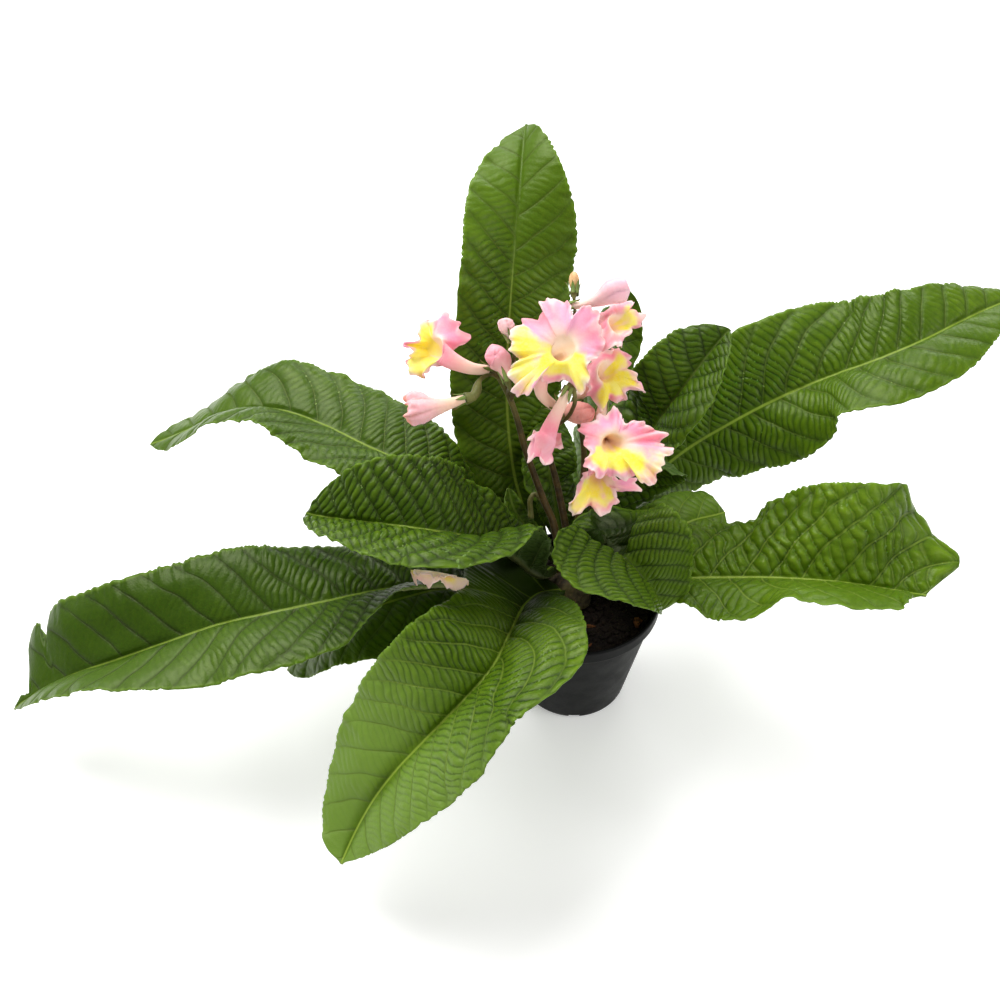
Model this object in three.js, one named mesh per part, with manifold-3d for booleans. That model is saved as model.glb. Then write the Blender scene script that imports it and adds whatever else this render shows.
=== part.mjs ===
// Cape primrose (Streptocarpus) growing in a round plastic nursery pot.
// Millimetres, +Z up. Origin: centre of the pot's foot, on the surface it stands on.
import * as THREE from 'three';
import { mergeVertices } from 'three/addons/utils/BufferGeometryUtils.js';
import Module from 'manifold-3d';

const wasm = await Module();
wasm.setup();

// ---------------------------------------------------------------- dimensions
const POT_RIM_R = 52.5;        // outside radius of the rolled rim
const POT_HEIGHT = 86.4;
const POT_FOOT_R = 34.2;       // outside radius just above the rounded lower edge
const POT_TOP_R = 49.3;        // wall radius just under the rim
const POT_WALL = 1.6;
const POT_FLOOR = 2.0;
const RIM_DEPTH = 9.5;         // height of the rim band
const SOIL_TOP = 76.0;
const CROWN = [-5, 4];         // plan position of the crown
const CROWN_R = 14.5;
const CROWN_TOP = 94;
const LEAF_THICK = 1.6;        // blade, veins and quilting taken together
const LEAF_RIB = 2.4;          // midrib standing below the blade at the stalk end
const LEAF_CUP = -30 * Math.PI / 180;  // how much a blade turns down between midrib and margin
const PETAL_THICK = 1.2;
const GAP = 0.35;

// Leaves. Each row is a station from the stalk end to the tip:
// [x, y, z of the midrib, left half width, right half width, left blade angle, right blade angle].
const STATION_T = [0, 0.05, 0.1, 0.2, 0.3, 0.4, 0.5, 0.6, 0.7, 0.8, 0.87, 0.93, 0.97, 1];
const LEAVES = {
  leaf_back: [
    [-6.7, 15.9, 92.0, 3.2, 3.2, 2, 19],
    [-17.4, 28.1, 93.1, 4.3, 4.3, 5, 16],
    [-25.7, 37.7, 99.5, 9.4, 9.3, 8, 13],
    [-36.3, 51.9, 122.6, 25.6, 25.0, 13, 7],
    [-41.5, 63.8, 150.4, 33.9, 33.1, 22, 0],
    [-43.5, 75.8, 177.5, 37.6, 37.4, 34, -6],
    [-43.3, 87.9, 203.9, 38.9, 39.3, 47, -10],
    [-41.7, 101.1, 228.7, 38.6, 38.4, 54, -12],
    [-39.6, 117.8, 250.5, 38.2, 39.1, 54, -5],
    [-37.3, 137.6, 270.0, 34.8, 36.4, 43, 15],
    [-35.7, 154.3, 282.0, 29.6, 30.8, 29, 34],
    [-34.0, 172.5, 290.1, 21.5, 22.4, 15, 50],
    [-32.7, 187.4, 293.9, 12.4, 13.0, 7, 59],
    [-31.6, 200.4, 295.9, 1.4, 1.5, 1, 64],
  ],
  leaf_upper_right: [
    [5.2, 12.0, 90.0, 3.1, 3.1, 46, -48],
    [14.8, 29.2, 92.4, 4.2, 4.0, 48, -53],
    [24.5, 43.9, 97.7, 9.3, 8.7, 49, -58],
    [45.6, 65.9, 113.8, 26.4, 23.1, 53, -63],
    [70.7, 78.6, 132.3, 37.0, 30.5, 55, -57],
    [98.7, 85.5, 149.7, 45.0, 36.4, 57, -41],
    [127.4, 91.5, 165.0, 50.7, 42.9, 57, -17],
    [156.9, 96.2, 178.0, 50.5, 44.4, 47, 15],
    [184.2, 92.2, 195.4, 46.9, 43.4, 37, 14],
    [213.2, 97.6, 207.3, 39.3, 36.3, 36, 9],
    [236.5, 112.5, 208.7, 31.5, 28.1, 37, 15],
    [257.7, 127.2, 208.0, 21.8, 19.0, 36, 21],
    [272.2, 135.8, 207.7, 12.1, 10.7, 33, 22],
    [283.2, 140.8, 208.1, 1.3, 1.2, 28, 20],
  ],
  leaf_right_mid: [
    [4.9, 13.9, 97.0, 2.6, 2.7, 19, -49],
    [8.8, 19.8, 102.0, 3.5, 3.7, 23, -55],
    [12.6, 26.0, 106.8, 7.7, 8.2, 27, -60],
    [20.1, 37.7, 117.2, 20.7, 22.5, 35, -64],
    [27.1, 46.4, 130.6, 27.5, 30.0, 42, -56],
    [34.3, 52.6, 145.8, 31.1, 33.5, 47, -36],
    [42.5, 56.8, 161.6, 32.5, 34.4, 53, -12],
    [50.4, 55.8, 181.0, 31.8, 33.2, 57, 11],
    [59.2, 58.2, 196.6, 31.2, 31.6, 58, 25],
    [68.8, 64.9, 208.1, 29.2, 27.6, 53, 33],
    [75.6, 70.4, 215.4, 25.6, 22.7, 48, 37],
    [81.7, 75.1, 221.4, 19.0, 16.3, 43, 39],
    [85.9, 78.1, 225.3, 11.4, 9.4, 39, 40],
    [89.2, 80.3, 228.2, 3.4, 3.1, 37, 40],
  ],
  leaf_rear: [
    [0.3, 15.9, 97.0, 2.4, 2.4, -11, 5],
    [1.5, 25.9, 99.0, 3.2, 3.1, -14, 15],
    [3.0, 38.7, 98.6, 6.9, 6.7, -19, 25],
    [6.3, 65.2, 97.4, 18.2, 17.5, -28, 45],
    [9.2, 81.6, 106.5, 24.0, 22.7, -34, 62],
    [11.5, 88.8, 124.2, 27.4, 25.7, -35, 70],
    [14.2, 96.3, 141.1, 29.3, 27.3, -33, 64],
    [16.9, 102.4, 158.9, 29.4, 26.9, -27, 52],
    [19.9, 107.0, 177.5, 28.6, 26.0, -19, 40],
    [23.0, 110.6, 196.3, 25.1, 23.6, -15, 25],
    [25.0, 112.7, 209.5, 20.5, 20.2, -14, 12],
    [26.9, 114.5, 220.6, 14.6, 15.0, -15, 1],
    [28.2, 115.7, 227.9, 8.3, 8.7, -16, -6],
    [29.2, 116.6, 233.3, 0.9, 1.0, -16, -11],
  ],
  leaf_centre: [
    [-3.1, 17.4, 86.0, 1.4, 1.4, 20, 20],
    [-5.3, 21.1, 88.6, 1.6, 1.6, 20, 20],
    [-6.9, 25.0, 91.4, 2.0, 2.0, 20, 20],
    [-9.2, 32.1, 98.0, 3.6, 5.4, 20, 20],
    [-11.0, 37.3, 106.7, 8.2, 11.8, 20, 20],
    [-12.7, 40.6, 117.2, 13.3, 16.1, 20, 20],
    [-14.6, 42.9, 128.5, 17.1, 18.0, 20, 20],
    [-16.7, 45.4, 139.5, 17.9, 18.0, 20, 20],
    [-17.3, 50.6, 147.9, 17.8, 17.8, 20, 20],
    [-16.7, 58.2, 154.2, 16.2, 16.2, 20, 20],
    [-15.7, 64.3, 157.8, 13.5, 13.5, 20, 20],
    [-14.3, 69.9, 160.4, 9.4, 9.4, 20, 20],
    [-12.9, 73.8, 161.9, 5.1, 5.1, 20, 20],
    [-11.6, 76.7, 163.0, 0.5, 0.5, 20, 20],
  ],
  leaf_behind_right: [
    [7.7, 6.7, 90.0, 2.2, 2.2, 10, 10],
    [12.1, 7.9, 91.5, 3.0, 3.0, 10, 10],
    [16.5, 9.1, 92.8, 6.6, 6.6, 10, 10],
    [25.2, 11.8, 95.5, 18.0, 18.0, 10, 10],
    [33.4, 15.4, 98.7, 24.3, 24.3, 10, 10],
    [41.2, 19.5, 102.5, 28.1, 28.1, 10, 10],
    [49.2, 23.5, 106.0, 30.0, 30.0, 10, 10],
    [57.6, 27.7, 108.4, 30.0, 29.7, 10, 10],
    [66.0, 32.1, 111.0, 30.0, 28.5, 10, 10],
    [74.9, 36.2, 112.3, 30.0, 24.6, 10, 10],
    [81.8, 38.7, 112.0, 29.7, 20.0, 10, 10],
    [87.7, 40.8, 111.7, 28.7, 14.2, 10, 10],
    [91.5, 42.2, 111.7, 25.5, 8.1, 10, 10],
    [94.3, 43.2, 112.0, 15.0, 0.9, 10, 10],
  ],
  leaf_lower_right: [
    [7.8, 1.7, 88.0, 3.3, 3.3, 35, 23],
    [18.2, -3.2, 94.3, 4.4, 4.4, 34, 25],
    [28.6, -6.3, 99.0, 9.5, 9.6, 33, 29],
    [49.5, -9.0, 104.9, 25.7, 26.1, 32, 36],
    [70.4, -10.8, 108.7, 35.3, 36.5, 27, 32],
    [90.9, -14.7, 113.5, 43.7, 44.8, 26, 24],
    [110.6, -20.5, 119.7, 52.1, 49.9, 38, 29],
    [130.2, -26.0, 124.2, 56.7, 50.6, 56, 45],
    [149.7, -31.2, 127.3, 60.1, 48.9, 66, 44],
    [169.7, -34.7, 127.1, 61.8, 40.7, 59, 43],
    [184.0, -36.4, 125.5, 59.8, 38.3, 47, 50],
    [195.7, -38.9, 125.3, 48.7, 30.1, 34, 53],
    [203.0, -41.6, 126.6, 36.0, 20.0, 26, 50],
    [208.2, -44.5, 128.6, 24.9, 1.5, 20, 44],
  ],
  leaf_front_small: [
    [3.9, -4.0, 95.0, 3.0, 2.9, -3, 34],
    [3.7, -6.0, 105.1, 3.5, 3.5, -7, 39],
    [3.7, -7.5, 114.2, 4.8, 4.9, -11, 44],
    [4.4, -8.3, 129.6, 9.3, 9.8, -17, 51],
    [6.0, -5.1, 141.1, 23.4, 25.6, -17, 57],
    [10.2, -5.4, 146.3, 34.1, 38.2, 0, 50],
    [17.3, -15.3, 144.5, 39.9, 44.6, 33, 28],
    [23.8, -24.3, 142.9, 40.8, 43.9, 48, 23],
    [30.4, -30.8, 139.3, 40.9, 40.9, 54, 32],
    [36.9, -35.5, 132.8, 36.0, 33.9, 55, 43],
    [41.1, -38.0, 127.0, 29.4, 27.2, 52, 50],
    [44.2, -39.9, 121.3, 21.7, 20.0, 48, 54],
    [46.0, -41.2, 117.1, 14.2, 13.1, 46, 55],
    [47.2, -42.2, 113.9, 2.0, 1.8, 44, 55],
  ],
  leaf_inner: [
    [1.0, 3.5, 98.0, 0.7, 0.7, 20, 20],
    [3.1, 3.1, 99.6, 0.9, 0.9, 20, 20],
    [5.4, 2.8, 100.6, 2.0, 2.0, 20, 20],
    [10.3, 2.0, 102.4, 5.4, 5.4, 20, 20],
    [14.0, 1.3, 106.4, 7.3, 7.3, 20, 20],
    [15.7, 0.9, 112.6, 8.4, 8.4, 20, 20],
    [15.1, 0.9, 118.0, 9.0, 9.0, 20, 20],
    [11.4, 1.6, 121.6, 8.9, 8.9, 20, 20],
    [6.5, -0.5, 125.4, 8.6, 8.6, 20, 20],
    [1.7, -2.8, 127.8, 7.4, 7.4, 20, 20],
    [-1.6, -3.6, 128.0, 6.0, 6.0, 20, 20],
    [-4.3, -4.6, 128.1, 4.3, 4.3, 20, 20],
    [-6.2, -5.6, 128.4, 2.4, 2.4, 20, 20],
    [-7.6, -6.8, 129.0, 0.3, 0.3, 20, 20],
  ],
  leaf_front: [
    [-10.6, -6.6, 93.0, 4.9, 4.2, 56, 26],
    [-23.1, -14.8, 99.1, 6.9, 5.7, 61, 31],
    [-31.5, -29.8, 107.4, 16.0, 13.0, 58, 36],
    [-41.7, -67.4, 123.5, 46.7, 37.3, 45, 46],
    [-51.3, -95.1, 127.6, 59.8, 49.1, 44, 52],
    [-64.0, -109.3, 120.9, 60.1, 51.8, 48, 52],
    [-77.8, -120.7, 112.4, 57.0, 51.3, 36, 49],
    [-91.9, -129.4, 100.4, 50.4, 48.7, 29, 42],
    [-105.8, -137.4, 87.1, 44.3, 45.1, 28, 34],
    [-118.4, -145.8, 71.8, 35.6, 38.0, 31, 24],
    [-125.9, -152.5, 60.4, 27.8, 30.8, 37, 18],
    [-131.4, -159.7, 52.0, 19.1, 21.9, 41, 15],
    [-134.6, -165.5, 47.7, 10.7, 12.6, 42, 15],
    [-136.8, -170.5, 45.4, 1.2, 1.4, 42, 17],
  ],
  leaf_under_left: [
    [-16.5, -2.1, 87.0, 2.8, 2.8, 10, 9],
    [-25.4, -3.1, 88.8, 3.8, 3.8, 9, 9],
    [-34.4, -4.5, 90.6, 8.4, 8.4, 8, 10],
    [-52.0, -7.5, 94.3, 22.9, 22.9, 7, 10],
    [-69.6, -9.4, 97.6, 31.3, 31.0, 5, 10],
    [-87.0, -11.4, 98.8, 36.4, 35.8, 4, 10],
    [-104.0, -15.1, 96.9, 39.3, 38.3, 5, 10],
    [-120.7, -19.0, 93.4, 39.3, 37.9, 6, 10],
    [-137.1, -20.8, 84.6, 37.1, 36.4, 16, 10],
    [-152.6, -22.9, 72.4, 31.5, 31.4, 22, 10],
    [-162.8, -25.4, 63.4, 25.8, 25.5, 20, 10],
    [-171.3, -27.7, 55.2, 18.4, 18.1, 18, 10],
    [-177.1, -29.0, 49.3, 10.5, 10.3, 17, 10],
    [-181.5, -29.8, 44.6, 1.2, 1.1, 17, 10],
  ],
  leaf_lower_left: [
    [-18.0, 3.1, 91.0, 3.3, 3.3, 54, 12],
    [-35.4, -4.0, 97.4, 4.4, 4.4, 54, 13],
    [-52.4, -9.4, 102.9, 9.9, 9.7, 58, 13],
    [-85.8, -16.4, 109.8, 27.7, 26.5, 66, 14],
    [-118.8, -21.4, 109.8, 39.1, 36.0, 50, 17],
    [-151.3, -28.0, 107.2, 46.0, 42.1, 25, 23],
    [-183.3, -35.9, 105.8, 48.0, 46.0, 19, 34],
    [-216.3, -38.9, 98.1, 46.9, 46.6, 15, 42],
    [-248.8, -43.2, 86.7, 43.5, 47.1, 25, 48],
    [-282.3, -46.5, 73.4, 36.3, 48.0, 36, 49],
    [-306.6, -47.1, 62.3, 29.3, 48.5, 39, 45],
    [-327.1, -48.5, 51.0, 20.7, 45.5, 40, 36],
    [-340.2, -50.6, 42.3, 11.7, 14.3, 40, 26],
    [-349.5, -53.1, 35.1, 1.3, 2.3, 40, 16],
  ],
  leaf_left_mid: [
    [-15.6, 6.8, 99.0, 3.2, 3.1, 61, 26],
    [-21.0, -1.5, 103.7, 4.3, 4.2, 63, 29],
    [-26.8, -5.5, 109.8, 9.7, 9.3, 70, 32],
    [-39.3, -7.7, 124.9, 27.7, 25.7, 81, 39],
    [-53.3, -13.4, 142.4, 38.9, 35.5, 68, 47],
    [-68.1, -23.3, 157.7, 45.2, 41.5, 43, 53],
    [-83.0, -28.2, 166.2, 46.6, 43.9, 35, 53],
    [-98.1, -26.8, 167.9, 44.2, 42.7, 30, 55],
    [-113.4, -24.2, 168.0, 40.6, 40.7, 33, 58],
    [-129.0, -21.0, 167.2, 33.7, 34.9, 37, 61],
    [-140.1, -17.3, 165.4, 26.9, 28.1, 38, 64],
    [-149.8, -13.1, 163.2, 18.8, 19.7, 39, 66],
    [-156.3, -9.8, 161.5, 10.6, 11.2, 40, 68],
    [-161.3, -6.9, 160.2, 1.2, 1.3, 41, 69],
  ],
  leaf_upper_left: [
    [-14.9, 10.7, 92.0, 3.0, 2.9, 10, 8],
    [-27.8, 10.7, 101.4, 3.9, 3.9, 13, 10],
    [-39.5, 11.3, 112.1, 8.6, 8.5, 16, 10],
    [-60.7, 14.2, 134.8, 23.5, 23.1, 22, 10],
    [-81.4, 19.3, 155.0, 31.7, 31.7, 30, 18],
    [-104.2, 27.9, 167.2, 37.0, 37.4, 33, 25],
    [-129.8, 43.1, 169.2, 40.7, 40.0, 30, 22],
    [-156.7, 64.1, 166.9, 41.0, 40.9, 36, 25],
    [-185.0, 78.0, 166.8, 38.5, 40.9, 45, 28],
    [-214.5, 84.3, 160.2, 32.7, 35.8, 43, 17],
    [-235.4, 86.7, 149.3, 26.8, 29.0, 33, 5],
    [-253.3, 88.0, 138.9, 19.2, 20.4, 24, 1],
    [-265.0, 88.4, 132.7, 11.0, 11.6, 20, 6],
    [-273.7, 88.5, 129.0, 2.6, 2.4, 19, 15],
  ],
  leaf_curled: [
    [-10.2, 17.0, 99.0, 0.6, 0.6, 40, 40],
    [-13.2, 16.4, 100.3, 0.8, 0.8, 40, 40],
    [-15.9, 16.8, 101.1, 1.8, 1.8, 40, 40],
    [-20.5, 19.2, 102.7, 4.8, 4.8, 40, 40],
    [-24.3, 21.7, 105.8, 6.5, 6.5, 40, 40],
    [-27.9, 23.9, 110.0, 7.5, 7.5, 40, 40],
    [-31.4, 26.1, 114.0, 8.0, 8.0, 40, 40],
    [-34.4, 28.1, 118.7, 7.9, 7.9, 40, 40],
    [-37.6, 29.7, 123.7, 7.6, 7.6, 40, 40],
    [-40.0, 32.6, 127.9, 6.6, 6.6, 40, 40],
    [-41.0, 35.6, 130.3, 5.3, 5.3, 40, 40],
    [-41.8, 38.3, 132.3, 3.8, 3.8, 40, 40],
    [-42.3, 39.9, 133.8, 2.2, 2.2, 40, 40],
    [-42.8, 41.0, 135.0, 0.2, 0.2, 40, 40],
  ],
};

// Open corollas. tube: centre line from the calyx to the mouth; edge: points on the ruffled margin.
const COROLLAS = {
  corolla_main: {
    mouth: [-13.1, 17.2, 262.0], axis: [-0.214, -0.633, 0.744], r0: 2.6, rm: 6.5,
    tube: [[-16.2, 10.4, 226.0], [-24.9, 10.0, 238.0], [-22.9, 13.9, 252.0]],
    edge: [[-9.2, 36.1, 277.9], [-23.2, 46.3, 275.8], [-25.6, 37.7, 271.9], [-40.6, 29.4, 268.5], [-43.9, 17.7, 261.6],
      [-37.3, 13.1, 259.6], [-43.9, 6.3, 254.6], [-36.3, -3.5, 248.5], [-31.9, -5.5, 248.1], [-26.3, 6.0, 251.4],
      [-20.6, 8.9, 244.7], [-1.3, -1.0, 250.0], [9.2, 26.2, 265.4], [5.9, 35.8, 273.9], [-0.3, 36.2, 277.8],
      [-7.7, 28.2, 276.9]],
  },
  corolla_left: {
    mouth: [-83.2, 32.4, 250.0], axis: [-0.789, -0.407, 0.46], r0: 2.6, rm: 6.5,
    tube: [[-55.1, 29.4, 238.0], [-64.6, 25.0, 243.0], [-74.1, 26.3, 247.0]],
    edge: [[-87.5, 49.7, 258.0], [-97.1, 34.0, 255.8], [-104.6, 35.3, 252.8], [-96.1, 30.0, 249.7], [-101.9, 29.6, 243.6],
      [-97.3, 23.2, 239.4], [-90.4, 21.8, 241.3], [-68.1, 39.0, 251.3], [-77.9, 53.3, 260.2]],
  },
  corolla_low_right: {
    mouth: [14.4, -18.6, 224.0], axis: [0.119, -0.643, 0.756], r0: 2.6, rm: 6.5,
    tube: [[11.5, 20.3, 222.0], [9.3, 13.9, 214.0], [10.6, -3.2, 217.0]],
    edge: [[20.3, -5.1, 231.9], [16.7, 3.2, 234.3], [11.1, -2.0, 230.7], [-4.2, -10.1, 228.9], [1.4, -26.3, 223.5],
      [-0.9, -32.6, 221.1], [1.3, -34.9, 218.8], [8.5, -35.6, 215.8], [14.4, -30.5, 212.5], [18.7, -33.0, 211.1],
      [27.7, -32.6, 216.7], [28.0, -37.4, 215.2], [35.8, -38.0, 212.1], [43.0, -23.8, 219.1], [48.7, -15.3, 218.8],
      [45.2, -16.8, 219.4], [43.2, -14.2, 219.3], [45.3, -6.6, 221.5], [27.0, -4.6, 230.0], [21.2, -8.7, 231.4]],
  },
  corolla_lowest: {
    mouth: [8.7, -15.2, 196.0], axis: [-0.099, -0.95, 0.296], r0: 2.6, rm: 6.5,
    tube: [[7.7, 14.8, 198.0], [7.4, 5.2, 195.0], [7.5, -5.0, 195.0]],
    edge: [[4.5, -9.7, 195.5], [-0.1, -10.5, 194.7], [-8.7, -23.6, 183.7], [-7.5, -27.2, 179.3], [0.2, -27.7, 183.7],
      [13.8, -28.7, 181.5], [15.5, -27.1, 183.9], [19.4, -24.5, 186.9], [17.7, -19.5, 192.2], [25.1, -16.1, 185.1],
      [33.8, -13.6, 185.9], [29.3, -8.8, 189.9]],
  },
  corolla_top_right: {
    mouth: [17.3, 39.7, 262.0], axis: [0.553, -0.3, 0.777], r0: 2.4, rm: 5.5,
    tube: [[4.0, 45.8, 238.0], [7.0, 46.0, 248.0], [12.0, 41.7, 257.0]],
    edge: [[15.8, 55.7, 264.1], [9.3, 48.1, 260.6], [9.9, 22.9, 258.2], [20.8, 28.1, 256.3], [22.7, 33.6, 258.3],
      [33.2, 46.3, 257.0], [31.8, 52.7, 259.2], [26.2, 56.4, 262.1], [26.1, 64.8, 261.5]],
  },
  corolla_right: {
    mouth: [12.0, 25.2, 240.0], axis: [0.543, -0.638, 0.546], r0: 2.5, rm: 6.0,
    tube: [[-2.5, 34.3, 214.0], [1.7, 31.0, 222.0], [6.8, 27.0, 232.0]],
    edge: [[6.1, 35.5, 243.3], [0.7, 19.7, 235.7], [8.0, 10.2, 224.6], [15.6, 16.4, 226.1], [24.6, 20.8, 222.4],
      [24.3, 21.6, 229.1], [34.9, 24.7, 225.8], [35.5, 27.9, 229.0], [31.8, 26.5, 230.9], [25.5, 31.6, 237.7],
      [29.1, 35.2, 238.4], [21.7, 41.1, 245.3]],
  },
  corolla_drooping: {
    mouth: [-21.5, -5.5, 219.0], axis: [-0.353, -0.731, -0.585], r0: 2.4, rm: 5.0,
    tube: [[-10.4, 6.5, 242.0], [-13.9, 1.8, 235.5], [-18.3, -1.9, 227.0]],
    edge: [[-19.6, -1.0, 213.5], [-12.4, -7.1, 213.0], [-18.2, -12.4, 213.2], [-20.5, -18.2, 210.2], [-23.3, -17.8, 210.6],
      [-24.9, -15.1, 213.4], [-31.6, -13.6, 210.5], [-31.5, -3.2, 218.5]],
  },
};

// Closed and opening buds: centre line and the radius along it.
const BUDS = {
  bud_low_left: { line: [[-67.9, 11.1, 232.0], [-76.9, 7.9, 231.0], [-86.9, 5.7, 230.0], [-97.1, 7.2, 228.0], [-100.5, 7.5, 227.0]], r: [2.6, 4.6, 7.6, 9.6, 6.0, 1.0], rt: [0, 0.25, 0.55, 0.8, 0.95, 1] },
  bud_mid: { line: [[-43.8, 17.7, 241.0], [-46.1, 24.3, 245.0], [-50.0, 28.6, 248.0], [-56.2, 28.3, 249.0]], r: [2.0, 4.4, 7.2, 7.0, 3.8, 1.0], rt: [0, 0.3, 0.6, 0.8, 0.94, 1] },
  bud_pale: { line: [[-41.6, 33.1, 258.0], [-43.3, 35.5, 261.0], [-44.4, 37.6, 265.0], [-44.4, 39.6, 267.0]], r: [1.6, 3.4, 4.6, 4.0, 0.8], rt: [0, 0.3, 0.6, 0.9, 1] },
  bud_top: { line: [[-7.5, 54.8, 264.0], [0.1, 51.3, 268.0], [8.4, 50.5, 272.0], [17.1, 51.2, 277.0], [24.8, 50.8, 278.0]], r: [2.0, 2.6, 5.0, 7.6, 6.6, 1.2], rt: [0, 0.3, 0.55, 0.78, 0.93, 1] },
  bud_salmon: { line: [[-9.8, 23.0, 213.0], [-5.5, 18.6, 216.0], [1.2, 15.4, 218.0], [6.3, 16.0, 219.0]], r: [2.5, 6.0, 6.8, 5.6, 1.2], rt: [0, 0.3, 0.6, 0.85, 1] },
  bud_tan: { line: [[-5.6, 63.6, 268.0], [-5.6, 67.6, 270.0], [-5.5, 71.6, 272.0], [-5.4, 75.1, 273.0]], r: [1.2, 2.6, 3.0, 2.0, 0.6], rt: [0, 0.3, 0.6, 0.88, 1] },
  wilted_flower: { line: [[-66.5, -36.4, 131.0], [-76.9, -37.4, 135.0], [-86.2, -36.4, 136.5], [-94.4, -34.7, 136.0], [-99.8, -33.0, 135.0]], r: [1.5, 2.8, 4.0, 4.5, 3.0, 0.8], rt: [0, 0.25, 0.5, 0.75, 0.92, 1] },
};

// Flower stalks. Each is one grown piece: a main stalk, its side stalks and their calyces.
const STALKS = {
  stalk_left: [
    { line: [[-10.7, 11.2, 88.0], [-12.8, 12.5, 118.0], [-16.2, 13.6, 135.0], [-20.7, 15.2, 147.0], [-26.9, 18.8, 165.0], [-33.1, 22.4, 185.0], [-38.5, 27.6, 206.0], [-43.2, 29.8, 220.0], [-47.8, 30.6, 230.5], [-50.6, 31.5, 235.6], [-54.55, 29.71, 237.7]], r: [2.2, 1.3], cal: 1 },
    { line: [[-47.8, 30.6, 230.5], [-52.9, 28.3, 236.0], [-59.0, 22.4, 236.5], [-62.8, 12.9, 232.6], [-67.29, 11.33, 232.07]], r: [1.2, 1.3], cal: 1 },
    { line: [[-43.2, 29.8, 220.0], [-42.6, 23.5, 229.0], [-42.3, 13.2, 238.3], [-43.65, 17.17, 240.65]], r: [1.2, 1.2], cal: 1 },
    { line: [[-41.4, 28.1, 217.0], [-38.1, 26.6, 233.0], [-39.9, 29.0, 247.0], [-39.4, 29.8, 254.1], [-41.33, 32.65, 257.5]], r: [1.2, 1.0], cal: 1 },
    { line: [[-18.1, 15.4, 140.0], [-23.0, 17.8, 147.0], [-27.3, 19.9, 150.0], [-29.4, 17.6, 148.0], [-29.3, 15.1, 142.0], [-29.0, 12.4, 137.0]], r: [1.1, 1.8], cal: 0 },
  ],
  stalk_centre: [
    { line: [[-4.6, 7.8, 88.0], [-6.3, 18.0, 115.0], [-10.0, 20.1, 138.0], [-14.1, 23.7, 158.0], [-18.8, 24.0, 178.0], [-22.0, 25.1, 192.0], [-21.2, 20.8, 205.0], [-13.0, 10.5, 221.5], [-15.81, 10.39, 225.43]], r: [2.1, 1.3], cal: 1 },
    { line: [[-21.0, 21.5, 199.0], [-12.3, 15.7, 211.0], [-7.3, 7.5, 227.0], [-6.1, 5.1, 237.0], [-8.5, 9.0, 245.4], [-10.09, 6.88, 242.52]], r: [1.2, 1.2], cal: 1 },
    { line: [[-21.0, 21.5, 199.0], [-16.6, 22.0, 207.0], [-13.3, 26.5, 210.6], [-10.24, 23.45, 212.69]], r: [1.2, 1.2], cal: 1 },
  ],
  stalk_right: [
    { line: [[-2.9, 1.0, 88.0], [-1.0, 15.1, 118.0], [2.2, 28.6, 145.0], [3.1, 34.8, 160.0], [1.9, 37.3, 178.0], [-0.3, 37.2, 190.0], [-4.9, 36.2, 209.4], [-2.81, 34.55, 213.42]], r: [2.1, 1.3], cal: 1 },
    { line: [[-1.1, 37.7, 195.0], [0.6, 38.8, 214.0], [2.6, 43.1, 227.0], [2.4, 45.8, 232.7], [3.75, 45.83, 237.33]], r: [1.3, 1.2], cal: 1 },
    { line: [[0.6, 38.8, 214.0], [-3.5, 45.6, 236.0], [-7.2, 52.9, 252.0], [-12.0, 56.9, 261.6], [-8.08, 55.04, 263.7]], r: [1.2, 1.1], cal: 1 },
    { line: [[-6.6, 52.9, 252.0], [-5.0, 58.3, 260.0], [-5.7, 58.7, 265.5], [-5.64, 62.98, 267.69]], r: [0.9, 0.9], cal: 1 },
  ],
  stalk_low: [
    { line: [[2.8, 4.4, 88.0], [5.4, 13.3, 111.0], [8.7, 21.9, 143.0], [7.7, 21.7, 180.0], [12.7, 23.7, 226.2], [11.64, 20.77, 222.53]], r: [2.0, 1.3], cal: 1 },
    { line: [[8.4, 23.7, 158.0], [9.2, 22.2, 174.0], [7.9, 20.0, 199.6], [7.77, 15.46, 198.21]], r: [1.2, 1.2], cal: 1 },
  ],
};

// ---------------------------------------------------------------- helpers
const V = (x, y, z) => new THREE.Vector3(x, y, z);
const group = new THREE.Group();
function material(color, roughness, metalness = 0) {
  return new THREE.MeshStandardMaterial({ color, roughness, metalness, side: THREE.DoubleSide });
}
const MAT = {
  pot: () => material(0x17191a, 0.5),
  soil: () => material(0x1a120c, 0.95),
  crown: () => material(0x4a3a20, 0.8),
  leaf: () => material(0x3f5f1c, 0.55),
  stalk: () => material(0x33210f, 0.6),
  petal: () => material(0xf3b9bd, 0.6),
  wilted: () => material(0xe3cf9b, 0.8),
};
function addMesh(name, geometry, mat) {
  const mesh = new THREE.Mesh(geometry, mat);
  mesh.name = name;
  geometry.computeVertexNormals();
  group.add(mesh);
  return mesh;
}
function indexed(positions, triangles) {
  const g = new THREE.BufferGeometry();
  g.setAttribute('position', new THREE.Float32BufferAttribute(positions, 3));
  g.setIndex(triangles);
  return g;
}
function toSolid(geometry) {
  let g = geometry.clone();
  g.deleteAttribute('normal'); g.deleteAttribute('uv');
  g = mergeVertices(g, 1e-4);
  return new wasm.Manifold(new wasm.Mesh({
    numProp: 3,
    vertProperties: new Float32Array(g.attributes.position.array),
    triVerts: new Uint32Array(g.index.array),
  }));
}
function fromSolid(solid) {
  const m = solid.getMesh();
  return indexed(Array.from(m.vertProperties), Array.from(m.triVerts));
}
function largest(solid) {
  return solid.decompose().sort((a, b) => b.volume() - a.volume())[0];
}
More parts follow.
